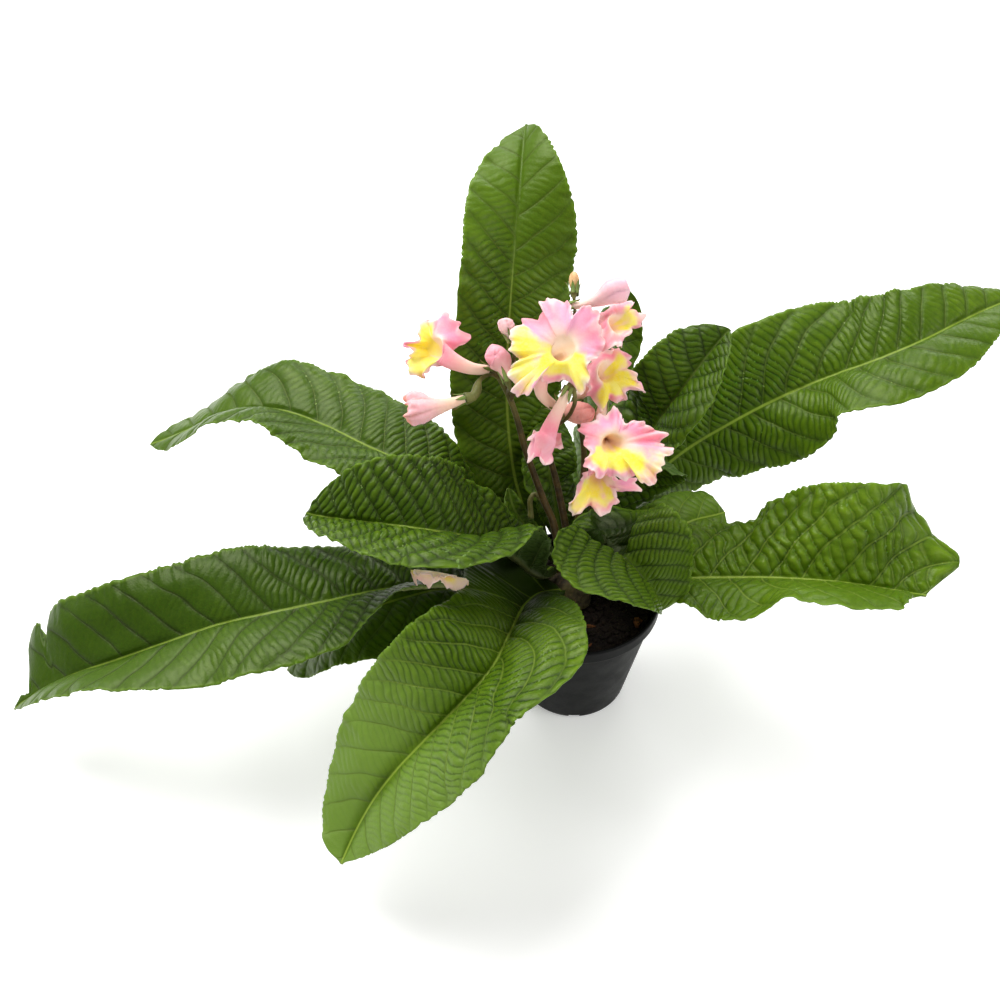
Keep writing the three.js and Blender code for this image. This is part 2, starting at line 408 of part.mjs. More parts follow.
// Piecewise cubic through (ts, ys); flat = true keeps it from overshooting.
function curve(ts, ys, flat = false) {
  const n = ts.length, d = [], m = [];
  for (let i = 0; i < n - 1; i++) d.push((ys[i + 1] - ys[i]) / (ts[i + 1] - ts[i]));
  for (let i = 0; i < n; i++) {
    if (i === 0) m.push(d[0]);
    else if (i === n - 1) m.push(d[n - 2]);
    else if (flat && d[i - 1] * d[i] <= 0) m.push(0);
    else {
      const h0 = ts[i] - ts[i - 1], h1 = ts[i + 1] - ts[i];
      m.push(flat ? 3 * (h0 + h1) / ((2 * h1 + h0) / d[i - 1] + (h1 + 2 * h0) / d[i])
        : (d[i - 1] * h1 + d[i] * h0) / (h0 + h1));
    }
  }
  return (t) => {
    let i = 0;
    while (i < n - 2 && t > ts[i + 1]) i++;
    const h = ts[i + 1] - ts[i], u = (t - ts[i]) / h;
    return (2 * u ** 3 - 3 * u ** 2 + 1) * ys[i] + (u ** 3 - 2 * u ** 2 + u) * h * m[i]
      + (-2 * u ** 3 + 3 * u ** 2) * ys[i + 1] + (u ** 3 - u ** 2) * h * m[i + 1];
  };
}
// A closed sheet: top and bottom grids joined round their edge. ring = true closes the columns on themselves.
function sheet(top, bottom, ring = false) {
  const rows = top.length, cols = top[0].length, pos = [], tri = [];
  for (const grid of [top, bottom]) for (const row of grid) for (const p of row) pos.push(p.x, p.y, p.z);
  const T = (i, j) => i * cols + (j % cols), B = (i, j) => rows * cols + i * cols + (j % cols);
  const last = ring ? cols : cols - 1;
  const quad = (a, b, c, d) => tri.push(a, b, c, a, c, d);
  for (let i = 0; i < rows - 1; i++) for (let j = 0; j < last; j++) {
    quad(T(i, j), T(i, j + 1), T(i + 1, j + 1), T(i + 1, j));
    quad(B(i, j), B(i + 1, j), B(i + 1, j + 1), B(i, j + 1));
  }
  for (let j = 0; j < last; j++) {
    quad(T(0, j), B(0, j), B(0, j + 1), T(0, j + 1));
    quad(T(rows - 1, j), T(rows - 1, j + 1), B(rows - 1, j + 1), B(rows - 1, j));
  }
  if (!ring) for (let i = 0; i < rows - 1; i++) {
    quad(T(i, 0), T(i + 1, 0), B(i + 1, 0), B(i, 0));
    quad(T(i, cols - 1), B(i, cols - 1), B(i + 1, cols - 1), T(i + 1, cols - 1));
  }
  const g = indexed(pos, tri);
  // faces point outwards
  let vol = 0;
  const p = g.attributes.position;
  for (let k = 0; k < tri.length; k += 3) {
    const a = V().fromBufferAttribute(p, tri[k]), b = V().fromBufferAttribute(p, tri[k + 1]), c = V().fromBufferAttribute(p, tri[k + 2]);
    vol += a.dot(b.cross(c));
  }
  if (vol < 0) for (let k = 0; k < tri.length; k += 3) [tri[k + 1], tri[k + 2]] = [tri[k + 2], tri[k + 1]];
  g.setIndex(tri);
  return g;
}
function gridNormals(grid, ring = false) {
  const rows = grid.length, cols = grid[0].length;
  const at = (i, j) => grid[Math.min(rows - 1, Math.max(0, i))][ring ? (j + cols) % cols : Math.min(cols - 1, Math.max(0, j))];
  return grid.map((row, i) => row.map((_, j) => {
    const du = at(i + 1, j).clone().sub(at(i - 1, j)), dv = at(i, j + 1).clone().sub(at(i, j - 1));
    return du.cross(dv).normalize();
  }));
}

// ---------------------------------------------------------------- leaves
const SPANS = [0, 0.16, 0.42, 0.7, 0.88, 1];
function leafGrid(rows, spans, ts) {
  const col = (k, flat) => curve(STATION_T, rows.map((r) => r[k]), flat);
  const px = col(0), py = col(1), pz = col(2), wl = col(3, true), wr = col(4, true), al = col(5, true), ar = col(6, true);
  return ts.map((t) => {
    const P = V(px(t), py(t), pz(t));
    const t0 = Math.max(0, t - 0.01), t1 = Math.min(1, t + 0.01);
    const T = V(px(t1) - px(t0), py(t1) - py(t0), pz(t1) - pz(t0)).normalize();
    const H = V(0, 0, 1).cross(T).normalize(), N = T.clone().cross(H);
    const at = (v, side) => {
      const w = side > 0 ? wl(t) : wr(t), a = (side > 0 ? al(t) : ar(t)) * Math.PI / 180, k = LEAF_CUP;
      const c = (Math.sin(a + k * v) - Math.sin(a)) / k, s = (Math.cos(a) - Math.cos(a + k * v)) / k;
      return P.clone().addScaledVector(H, side * c * w).addScaledVector(N, s * w);
    };
    const out = [];
    for (let i = spans.length - 1; i > 0; i--) out.push(at(spans[i], 1));
    out.push(P.clone());
    for (let i = 1; i < spans.length; i++) out.push(at(spans[i], -1));
    return out;
  });
}
function leafSolid(rows, spans, ts, thick = LEAF_THICK, rib = LEAF_RIB, lift = 0) {
  const grid = leafGrid(rows, spans, ts), nrm = gridNormals(grid), mid = spans.length - 1;
  const top = grid.map((row, i) => row.map((p, j) => {
    const n = nrm[i][j].clone(); if (n.z < 0) n.negate();
    return p.clone().addScaledVector(n, lift);
  }));
  const bottom = grid.map((row, i) => row.map((p, j) => {
    const n = nrm[i][j].clone(); if (n.dot(V(0, 0, 1)) < 0 && nrm[i][mid].dot(V(0, 0, 1)) < 0) n.negate();
    const d = thick + (j === mid ? rib * (1 - 0.75 * ts[i]) : 0);
    return p.clone().addScaledVector(n, -d);
  }));
  return sheet(top, bottom);
}
const LONG_T = [0, 0.06, 0.13, 0.2, 0.28, 0.37, 0.46, 0.55, 0.64, 0.73, 0.81, 0.88, 0.94, 0.98, 1];
const SHORT_T = [0, 0.1, 0.2, 0.32, 0.46, 0.6, 0.74, 0.86, 0.95, 1];
const SMALL = new Set(['leaf_inner', 'leaf_curled', 'leaf_centre', 'leaf_behind_right']);
const leafGeometry = {};
for (const [name, rows] of Object.entries(LEAVES)) {
  leafGeometry[name] = leafSolid(rows, SMALL.has(name) ? [0, 0.3, 0.7, 1] : SPANS, SMALL.has(name) || name === 'leaf_right_mid' ? SHORT_T : LONG_T);
}

// ---------------------------------------------------------------- swept tubes
function spline(points) {
  const s = [0];
  for (let i = 1; i < points.length; i++) s.push(s[i - 1] + Math.hypot(...points[i].map((v, k) => v - points[i - 1][k])));
  const L = s[s.length - 1], c = [0, 1, 2].map((k) => curve(s, points.map((p) => p[k])));
  return { L, at: (u) => V(c[0](u * L), c[1](u * L), c[2](u * L)) };
}
function frames(path, us, endNormal = null) {
  const T = us.map((u) => path.at(Math.min(1, u + 0.005)).sub(path.at(Math.max(0, u - 0.005))).normalize());
  const N = new Array(us.length), last = us.length - 1;
  let n = endNormal ? endNormal.clone() : V(0, 1, 0.1);
  for (let i = last; i >= 0; i--) {
    n.addScaledVector(T[i], -n.dot(T[i])).normalize();
    N[i] = n.clone();
  }
  return us.map((u, i) => ({ P: path.at(u), T: T[i], N: N[i], B: T[i].clone().cross(N[i]) }));
}
function tubeSolid(points, us, radius, sides = 8) {
  const fr = frames(spline(points), us), pos = [], tri = [];
  fr.forEach((f, i) => {
    for (let j = 0; j < sides; j++) {
      const a = j / sides * 2 * Math.PI, r = radius(us[i]);
      const p = f.P.clone().addScaledVector(f.N, r * Math.cos(a)).addScaledVector(f.B, r * Math.sin(a));
      pos.push(p.x, p.y, p.z);
    }
  });
  const n = us.length;
  for (let i = 0; i < n - 1; i++) for (let j = 0; j < sides; j++) {
    const a = i * sides + j, b = i * sides + (j + 1) % sides, c = a + sides, d = b + sides;
    tri.push(a, b, d, a, d, c);
  }
  const s = pos.length / 3;
  pos.push(...fr[0].P.toArray(), ...fr[n - 1].P.toArray());
  for (let j = 0; j < sides; j++) {
    tri.push(s, (j + 1) % sides, j);
    tri.push(s + 1, (n - 1) * sides + j, (n - 1) * sides + (j + 1) % sides);
  }
  return indexed(pos, tri);
}
const steps = (n) => Array.from({ length: n + 1 }, (_, i) => i / n);

// ---------------------------------------------------------------- corollas
function corollaSolid(c) {
  const M = V(...c.mouth), A = V(...c.axis).normalize();
  const edge = c.edge.map((p) => V(...p)), n = edge.length;
  const e1 = edge[0].clone().sub(M); e1.addScaledVector(A, -e1.dot(A)).normalize();
  const e2 = A.clone().cross(e1);
  const ang = edge.map((p) => Math.atan2(p.clone().sub(M).dot(e2), p.clone().sub(M).dot(e1)));
  const th = [0];
  for (let i = 1; i <= n; i++) {
    let d = ang[i % n] - ang[i - 1];
    while (d > Math.PI) d -= 2 * Math.PI;
    while (d < -Math.PI) d += 2 * Math.PI;
    th.push(th[i - 1] + Math.max(0.08, d));
  }
  const scale = 2 * Math.PI / th[n];
  for (let i = 0; i < n; i++) th[i] *= scale;
  // tube
  const line = spline([...c.tube, c.mouth]);
  const us = [0, 0.3, 0.62, 1];
  const fr = frames(line, us, e1);
  const grid = fr.map((f, i) => {
    const r = c.r0 + (c.rm - c.r0) * us[i] ** 1.7, w = us[i] ** 2;
    const N = f.N.clone().multiplyScalar(1 - w).addScaledVector(e1, w).normalize();
    const B = f.B.clone().multiplyScalar(1 - w).addScaledVector(e2, w).normalize();
    return th.slice(0, n).map((a) => f.P.clone().addScaledVector(N, r * Math.cos(a)).addScaledVector(B, r * Math.sin(a)));
  });
  // limb: from the mouth forwards, then out to the margin
  const mouth = grid[grid.length - 1];
  for (const s of [0.33, 0.67, 1]) {
    grid.push(edge.map((b, j) => {
      const p0 = mouth[j], L = p0.distanceTo(b);
      const rad = p0.clone().sub(M).normalize();
      const out = b.clone().sub(M); out.addScaledVector(A, -out.dot(A)).normalize();
      const p1 = p0.clone().addScaledVector(A, 0.28 * L).addScaledVector(rad, 0.12 * L);
      const p2 = b.clone().addScaledVector(out, -0.32 * L).addScaledVector(A, 0.10 * L);
      const q = 1 - s;
      return p0.clone().multiplyScalar(q ** 3).addScaledVector(p1, 3 * q * q * s).addScaledVector(p2, 3 * q * s * s).addScaledVector(b, s ** 3);
    }));
  }
  const nrm = gridNormals(grid, true), h = PETAL_THICK / 2;
  const a = grid.map((r, i) => r.map((p, j) => p.clone().addScaledVector(nrm[i][j], h)));
  const b = grid.map((r, i) => r.map((p, j) => p.clone().addScaledVector(nrm[i][j], -h)));
  return sheet(a, b, true);
}

// ---------------------------------------------------------------- pot, soil, crown
{
  const r = (z) => POT_FOOT_R + (POT_TOP_R - POT_FOOT_R) * (z - 5) / (POT_HEIGHT - RIM_DEPTH - 5);
  const yb = POT_HEIGHT - RIM_DEPTH;
  const profile = [
    [0, 0], [29.4, 0], [32.2, 1.2], [33.6, 2.9], [r(5), 5],                       // foot and rounded edge
    [r(yb), yb], [POT_RIM_R - 0.9, yb], [POT_RIM_R - 0.3, yb + 0.8],              // wall, underside of the rim band
    [POT_RIM_R, POT_HEIGHT - 1.2], [POT_RIM_R - 0.5, POT_HEIGHT - 0.3], [POT_RIM_R - 1.3, POT_HEIGHT], // rolled lip
    [POT_RIM_R - 2.1, POT_HEIGHT - 0.4], [POT_RIM_R - 2.4, POT_HEIGHT - 1.4],
    [r(yb) - POT_WALL, yb - 1.5], [r(6) - POT_WALL, 6], [30.5, POT_FLOOR + 0.4], [28.5, POT_FLOOR], [0, POT_FLOOR],
  ];
  const lathe = (prof, seg) => {
    const g = new THREE.LatheGeometry(prof.map(([x, z]) => new THREE.Vector2(x, z)), seg);
    g.rotateX(Math.PI / 2);
    return g;
  };
  let pot = toSolid(lathe(profile, 48));
  if (pot.volume() < 0) throw new Error('pot inside out');
  // six drain slots through the foot's edge
  for (let i = 0; i < 6; i++) {
    const slot = new THREE.BoxGeometry(9, 7, 6.5);
    slot.translate(32.5, 0, 1.2);
    slot.rotateZ((i + 0.5) * Math.PI / 3);
    pot = pot.subtract(toSolid(slot));
  }
  addMesh('pot', fromSolid(pot), MAT.pot());

  const g = GAP, wallIn = (z) => r(z) - POT_WALL - g;
  const soil = lathe([[0, POT_FLOOR + g], [28.2, POT_FLOOR + g], [30.0, POT_FLOOR + 1.2], [wallIn(7), 7], [wallIn(74.6) - 0.4, SOIL_TOP - 1.4], [wallIn(74.6) - 2.5, SOIL_TOP - 0.2],
    [34, SOIL_TOP], [0, SOIL_TOP + 0.8]], 36);
  addMesh('soil', fromSolid(toSolid(soil)), MAT.soil());

  const crown = lathe([[0, SOIL_TOP + 1.2], [CROWN_R, SOIL_TOP + 1.2], [CROWN_R + 1.5, SOIL_TOP + 4], [CROWN_R + 0.5, 84], [CROWN_R - 2.5, 90], [7, CROWN_TOP], [0, CROWN_TOP + 1]], 24);
  crown.translate(CROWN[0], CROWN[1], 0);
  group.userData.crown = toSolid(crown);
}

// ---------------------------------------------------------------- build
const grow = (rows) => {           // the stalk end of a leaf, swollen by the gap, to be cut out of its neighbours
  const ext = rows.map((r) => r.slice());
  for (let i = 0; i < 4; i++) { ext[i][3] += GAP; ext[i][4] += GAP; }
  const dir = [0, 1, 2].map((k) => ext[1][k] - ext[0][k]), L = Math.hypot(...dir);
  dir.forEach((d, k) => { ext[0][k] -= d / L * GAP; });
  return ext;
};
let crown = group.userData.crown;
delete group.userData.crown;
for (const rows of Object.values(LEAVES)) {
  crown = crown.subtract(toSolid(leafSolid(grow(rows), [0, 0.5, 1], [0, 0.05, 0.1, 0.15], LEAF_THICK + 2 * GAP, LEAF_RIB + GAP, GAP)));
}
const stalkSolids = {};
for (const [name, branches] of Object.entries(STALKS)) {
  let solid = null;
  branches.forEach((b, k) => {
    const L = spline(b.line).L, n = Math.max(3, Math.min(12, Math.round(L / (k ? 8 : 13))));
    const us = steps(n);
    if (b.cal) us.splice(us.length - 1, 0, 1 - 5.5 / L, 1 - 1.6 / L);
    us.sort((p, q) => p - q);
    const list = us.filter((u, i) => i === 0 || u - us[i - 1] > 0.004);
    const radius = (u) => {
      const base = b.r[0] + (b.r[1] - b.r[0]) * u;
      const d = (1 - u) * L;
      return b.cal && d < 5 ? base + (2.6 - base) * Math.min(1, (5 - d) / 3.2) : base;
    };
    const s = toSolid(tubeSolid(b.line, list, radius, 7));
    solid = solid ? solid.add(s) : s;
    if (k === 0) crown = crown.subtract(toSolid(tubeSolid(b.line, [0, 0.1, 0.2], () => b.r[0] + GAP, 7)));
  });
  stalkSolids[name] = solid;
}
addMesh('crown', fromSolid(largest(crown)), MAT.crown());
for (const [name, g] of Object.entries(leafGeometry)) addMesh(name, g, MAT.leaf());
for (const [name, s] of Object.entries(stalkSolids)) addMesh(name, fromSolid(s), MAT.stalk());
for (const [name, c] of Object.entries(COROLLAS)) addMesh(name, corollaSolid(c), MAT.petal());
for (const [name, b] of Object.entries(BUDS)) {
  const rad = curve(b.rt, b.r, true);
  addMesh(name, tubeSolid(b.line, [0, 0.15, 0.3, 0.45, 0.6, 0.75, 0.88, 0.96, 1], rad, 9), name.startsWith('wilted') ? MAT.wilted() : MAT.petal());
}

export default group;
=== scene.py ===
# Cape primrose in its nursery pot: the looks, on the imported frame. Tables are in millimetres, in the row's frame.
import bpy, bmesh, math
import numpy as np
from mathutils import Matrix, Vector


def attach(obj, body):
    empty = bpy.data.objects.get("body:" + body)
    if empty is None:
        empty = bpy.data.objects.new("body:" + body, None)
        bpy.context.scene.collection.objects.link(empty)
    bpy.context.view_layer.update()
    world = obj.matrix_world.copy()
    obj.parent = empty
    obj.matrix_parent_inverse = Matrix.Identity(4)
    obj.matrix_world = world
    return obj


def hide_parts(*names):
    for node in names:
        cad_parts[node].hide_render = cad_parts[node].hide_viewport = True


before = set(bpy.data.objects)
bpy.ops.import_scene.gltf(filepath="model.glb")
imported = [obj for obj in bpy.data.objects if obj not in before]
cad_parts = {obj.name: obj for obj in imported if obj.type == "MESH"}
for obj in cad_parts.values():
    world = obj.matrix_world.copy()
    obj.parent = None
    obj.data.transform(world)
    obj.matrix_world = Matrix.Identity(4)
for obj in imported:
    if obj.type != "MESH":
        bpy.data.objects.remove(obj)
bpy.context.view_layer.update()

TT = [0,0.05,0.1,0.2,0.3,0.4,0.5,0.6,0.7,0.8,0.87,0.93,0.97,1]
LEAVES = {
    "leaf_back": [
        [-6.7,15.9,92.0,3.2,3.2,2,19],
        [-17.4,28.1,93.1,4.3,4.3,5,16],
        [-25.7,37.7,99.5,9.4,9.3,8,13],
        [-36.3,51.9,122.6,25.6,25.0,13,7],
        [-41.5,63.8,150.4,33.9,33.1,22,0],
        [-43.5,75.8,177.5,37.6,37.4,34,-6],
        [-43.3,87.9,203.9,38.9,39.3,47,-10],
        [-41.7,101.1,228.7,38.6,38.4,54,-12],
        [-39.6,117.8,250.5,38.2,39.1,54,-5],
        [-37.3,137.6,270.0,34.8,36.4,43,15],
        [-35.7,154.3,282.0,29.6,30.8,29,34],
        [-34.0,172.5,290.1,21.5,22.4,15,50],
        [-32.7,187.4,293.9,12.4,13.0,7,59],
        [-31.6,200.4,295.9,1.4,1.5,1,64],
    ],
    "leaf_upper_right": [
        [5.2,12.0,90.0,3.1,3.1,46,-48],
        [14.8,29.2,92.4,4.2,4.0,48,-53],
        [24.5,43.9,97.7,9.3,8.7,49,-58],
        [45.6,65.9,113.8,26.4,23.1,53,-63],
        [70.7,78.6,132.3,37.0,30.5,55,-57],
        [98.7,85.5,149.7,45.0,36.4,57,-41],
        [127.4,91.5,165.0,50.7,42.9,57,-17],
        [156.9,96.2,178.0,50.5,44.4,47,15],
        [184.2,92.2,195.4,46.9,43.4,37,14],
        [213.2,97.6,207.3,39.3,36.3,36,9],
        [236.5,112.5,208.7,31.5,28.1,37,15],
        [257.7,127.2,208.0,21.8,19.0,36,21],
        [272.2,135.8,207.7,12.1,10.7,33,22],
        [283.2,140.8,208.1,1.3,1.2,28,20],
    ],
    "leaf_right_mid": [
        [4.9,13.9,97.0,2.6,2.7,19,-49],
        [8.8,19.8,102.0,3.5,3.7,23,-55],
        [12.6,26.0,106.8,7.7,8.2,27,-60],
        [20.1,37.7,117.2,20.7,22.5,35,-64],
        [27.1,46.4,130.6,27.5,30.0,42,-56],
        [34.3,52.6,145.8,31.1,33.5,47,-36],
        [42.5,56.8,161.6,32.5,34.4,53,-12],
        [50.4,55.8,181.0,31.8,33.2,57,11],
        [59.2,58.2,196.6,31.2,31.6,58,25],
        [68.8,64.9,208.1,29.2,27.6,53,33],
        [75.6,70.4,215.4,25.6,22.7,48,37],
        [81.7,75.1,221.4,19.0,16.3,43,39],
        [85.9,78.1,225.3,11.4,9.4,39,40],
        [89.2,80.3,228.2,3.4,3.1,37,40],
    ],
    "leaf_rear": [
        [0.3,15.9,97.0,2.4,2.4,-11,5],
        [1.5,25.9,99.0,3.2,3.1,-14,15],
        [3.0,38.7,98.6,6.9,6.7,-19,25],
        [6.3,65.2,97.4,18.2,17.5,-28,45],
        [9.2,81.6,106.5,24.0,22.7,-34,62],
        [11.5,88.8,124.2,27.4,25.7,-35,70],
        [14.2,96.3,141.1,29.3,27.3,-33,64],
        [16.9,102.4,158.9,29.4,26.9,-27,52],
        [19.9,107.0,177.5,28.6,26.0,-19,40],
        [23.0,110.6,196.3,25.1,23.6,-15,25],
        [25.0,112.7,209.5,20.5,20.2,-14,12],
        [26.9,114.5,220.6,14.6,15.0,-15,1],
        [28.2,115.7,227.9,8.3,8.7,-16,-6],
        [29.2,116.6,233.3,0.9,1.0,-16,-11],
    ],
    "leaf_centre": [
        [-3.1,17.4,86.0,1.4,1.4,20,20],
        [-5.3,21.1,88.6,1.6,1.6,20,20],
        [-6.9,25.0,91.4,2.0,2.0,20,20],
        [-9.2,32.1,98.0,3.6,5.4,20,20],
        [-11.0,37.3,106.7,8.2,11.8,20,20],
        [-12.7,40.6,117.2,13.3,16.1,20,20],
        [-14.6,42.9,128.5,17.1,18.0,20,20],
        [-16.7,45.4,139.5,17.9,18.0,20,20],
        [-17.3,50.6,147.9,17.8,17.8,20,20],
        [-16.7,58.2,154.2,16.2,16.2,20,20],
        [-15.7,64.3,157.8,13.5,13.5,20,20],
        [-14.3,69.9,160.4,9.4,9.4,20,20],
        [-12.9,73.8,161.9,5.1,5.1,20,20],
        [-11.6,76.7,163.0,0.5,0.5,20,20],
    ],
    "leaf_behind_right": [
        [7.7,6.7,90.0,2.2,2.2,10,10],
        [12.1,7.9,91.5,3.0,3.0,10,10],
        [16.5,9.1,92.8,6.6,6.6,10,10],
        [25.2,11.8,95.5,18.0,18.0,10,10],
        [33.4,15.4,98.7,24.3,24.3,10,10],
        [41.2,19.5,102.5,28.1,28.1,10,10],
        [49.2,23.5,106.0,30.0,30.0,10,10],
        [57.6,27.7,108.4,30.0,29.7,10,10],
        [66.0,32.1,111.0,30.0,28.5,10,10],
        [74.9,36.2,112.3,30.0,24.6,10,10],
        [81.8,38.7,112.0,29.7,20.0,10,10],
        [87.7,40.8,111.7,28.7,14.2,10,10],
        [91.5,42.2,111.7,25.5,8.1,10,10],
        [94.3,43.2,112.0,15.0,0.9,10,10],
    ],
    "leaf_lower_right": [
        [7.8,1.7,88.0,3.3,3.3,35,23],
        [18.2,-3.2,94.3,4.4,4.4,34,25],
        [28.6,-6.3,99.0,9.5,9.6,33,29],
        [49.5,-9.0,104.9,25.7,26.1,32,36],
        [70.4,-10.8,108.7,35.3,36.5,27,32],
        [90.9,-14.7,113.5,43.7,44.8,26,24],
        [110.6,-20.5,119.7,52.1,49.9,38,29],
        [130.2,-26.0,124.2,56.7,50.6,56,45],
        [149.7,-31.2,127.3,60.1,48.9,66,44],
        [169.7,-34.7,127.1,61.8,40.7,59,43],
        [184.0,-36.4,125.5,59.8,38.3,47,50],
        [195.7,-38.9,125.3,48.7,30.1,34,53],
        [203.0,-41.6,126.6,36.0,20.0,26,50],
        [208.2,-44.5,128.6,24.9,1.5,20,44],
    ],
    "leaf_front_small": [
        [3.9,-4.0,95.0,3.0,2.9,-3,34],
        [3.7,-6.0,105.1,3.5,3.5,-7,39],
        [3.7,-7.5,114.2,4.8,4.9,-11,44],
        [4.4,-8.3,129.6,9.3,9.8,-17,51],
        [6.0,-5.1,141.1,23.4,25.6,-17,57],
        [10.2,-5.4,146.3,34.1,38.2,0,50],
        [17.3,-15.3,144.5,39.9,44.6,33,28],
        [23.8,-24.3,142.9,40.8,43.9,48,23],
        [30.4,-30.8,139.3,40.9,40.9,54,32],
        [36.9,-35.5,132.8,36.0,33.9,55,43],
        [41.1,-38.0,127.0,29.4,27.2,52,50],
        [44.2,-39.9,121.3,21.7,20.0,48,54],
        [46.0,-41.2,117.1,14.2,13.1,46,55],
        [47.2,-42.2,113.9,2.0,1.8,44,55],
    ],
    "leaf_inner": [
        [1.0,3.5,98.0,0.7,0.7,20,20],
        [3.1,3.1,99.6,0.9,0.9,20,20],
        [5.4,2.8,100.6,2.0,2.0,20,20],
        [10.3,2.0,102.4,5.4,5.4,20,20],
        [14.0,1.3,106.4,7.3,7.3,20,20],
        [15.7,0.9,112.6,8.4,8.4,20,20],
        [15.1,0.9,118.0,9.0,9.0,20,20],
        [11.4,1.6,121.6,8.9,8.9,20,20],
        [6.5,-0.5,125.4,8.6,8.6,20,20],
        [1.7,-2.8,127.8,7.4,7.4,20,20],
        [-1.6,-3.6,128.0,6.0,6.0,20,20],
        [-4.3,-4.6,128.1,4.3,4.3,20,20],
        [-6.2,-5.6,128.4,2.4,2.4,20,20],
        [-7.6,-6.8,129.0,0.3,0.3,20,20],
    ],
    "leaf_front": [
        [-10.6,-6.6,93.0,4.9,4.2,56,26],
        [-23.1,-14.8,99.1,6.9,5.7,61,31],
        [-31.5,-29.8,107.4,16.0,13.0,58,36],
        [-41.7,-67.4,123.5,46.7,37.3,45,46],
        [-51.3,-95.1,127.6,59.8,49.1,44,52],
        [-64.0,-109.3,120.9,60.1,51.8,48,52],
        [-77.8,-120.7,112.4,57.0,51.3,36,49],
        [-91.9,-129.4,100.4,50.4,48.7,29,42],
        [-105.8,-137.4,87.1,44.3,45.1,28,34],
        [-118.4,-145.8,71.8,35.6,38.0,31,24],
        [-125.9,-152.5,60.4,27.8,30.8,37,18],
        [-131.4,-159.7,52.0,19.1,21.9,41,15],
        [-134.6,-165.5,47.7,10.7,12.6,42,15],
        [-136.8,-170.5,45.4,1.2,1.4,42,17],
    ],
    "leaf_under_left": [
        [-16.5,-2.1,87.0,2.8,2.8,10,9],
        [-25.4,-3.1,88.8,3.8,3.8,9,9],
        [-34.4,-4.5,90.6,8.4,8.4,8,10],
        [-52.0,-7.5,94.3,22.9,22.9,7,10],
        [-69.6,-9.4,97.6,31.3,31.0,5,10],
        [-87.0,-11.4,98.8,36.4,35.8,4,10],
        [-104.0,-15.1,96.9,39.3,38.3,5,10],
        [-120.7,-19.0,93.4,39.3,37.9,6,10],
        [-137.1,-20.8,84.6,37.1,36.4,16,10],
        [-152.6,-22.9,72.4,31.5,31.4,22,10],
        [-162.8,-25.4,63.4,25.8,25.5,20,10],
        [-171.3,-27.7,55.2,18.4,18.1,18,10],
        [-177.1,-29.0,49.3,10.5,10.3,17,10],
        [-181.5,-29.8,44.6,1.2,1.1,17,10],
    ],
    "leaf_lower_left": [
        [-18.0,3.1,91.0,3.3,3.3,54,12],
        [-35.4,-4.0,97.4,4.4,4.4,54,13],
        [-52.4,-9.4,102.9,9.9,9.7,58,13],
        [-85.8,-16.4,109.8,27.7,26.5,66,14],
        [-118.8,-21.4,109.8,39.1,36.0,50,17],
        [-151.3,-28.0,107.2,46.0,42.1,25,23],
        [-183.3,-35.9,105.8,48.0,46.0,19,34],
        [-216.3,-38.9,98.1,46.9,46.6,15,42],
        [-248.8,-43.2,86.7,43.5,47.1,25,48],
        [-282.3,-46.5,73.4,36.3,48.0,36,49],
        [-306.6,-47.1,62.3,29.3,48.5,39,45],
        [-327.1,-48.5,51.0,20.7,45.5,40,36],
        [-340.2,-50.6,42.3,11.7,14.3,40,26],
        [-349.5,-53.1,35.1,1.3,2.3,40,16],
    ],
    "leaf_left_mid": [
        [-15.6,6.8,99.0,3.2,3.1,61,26],
        [-21.0,-1.5,103.7,4.3,4.2,63,29],
        [-26.8,-5.5,109.8,9.7,9.3,70,32],
        [-39.3,-7.7,124.9,27.7,25.7,81,39],
        [-53.3,-13.4,142.4,38.9,35.5,68,47],
        [-68.1,-23.3,157.7,45.2,41.5,43,53],
        [-83.0,-28.2,166.2,46.6,43.9,35,53],
        [-98.1,-26.8,167.9,44.2,42.7,30,55],
        [-113.4,-24.2,168.0,40.6,40.7,33,58],
        [-129.0,-21.0,167.2,33.7,34.9,37,61],
        [-140.1,-17.3,165.4,26.9,28.1,38,64],
        [-149.8,-13.1,163.2,18.8,19.7,39,66],
        [-156.3,-9.8,161.5,10.6,11.2,40,68],
        [-161.3,-6.9,160.2,1.2,1.3,41,69],
    ],
    "leaf_upper_left": [
        [-14.9,10.7,92.0,3.0,2.9,10,8],
        [-27.8,10.7,101.4,3.9,3.9,13,10],
        [-39.5,11.3,112.1,8.6,8.5,16,10],
        [-60.7,14.2,134.8,23.5,23.1,22,10],
        [-81.4,19.3,155.0,31.7,31.7,30,18],
        [-104.2,27.9,167.2,37.0,37.4,33,25],
        [-129.8,43.1,169.2,40.7,40.0,30,22],
        [-156.7,64.1,166.9,41.0,40.9,36,25],
        [-185.0,78.0,166.8,38.5,40.9,45,28],
        [-214.5,84.3,160.2,32.7,35.8,43,17],
        [-235.4,86.7,149.3,26.8,29.0,33,5],
        [-253.3,88.0,138.9,19.2,20.4,24,1],
        [-265.0,88.4,132.7,11.0,11.6,20,6],
        [-273.7,88.5,129.0,2.6,2.4,19,15],
    ],
    "leaf_curled": [
        [-10.2,17.0,99.0,0.6,0.6,40,40],
        [-13.2,16.4,100.3,0.8,0.8,40,40],
        [-15.9,16.8,101.1,1.8,1.8,40,40],
        [-20.5,19.2,102.7,4.8,4.8,40,40],
        [-24.3,21.7,105.8,6.5,6.5,40,40],
        [-27.9,23.9,110.0,7.5,7.5,40,40],
        [-31.4,26.1,114.0,8.0,8.0,40,40],
        [-34.4,28.1,118.7,7.9,7.9,40,40],
        [-37.6,29.7,123.7,7.6,7.6,40,40],
        [-40.0,32.6,127.9,6.6,6.6,40,40],
        [-41.0,35.6,130.3,5.3,5.3,40,40],
        [-41.8,38.3,132.3,3.8,3.8,40,40],
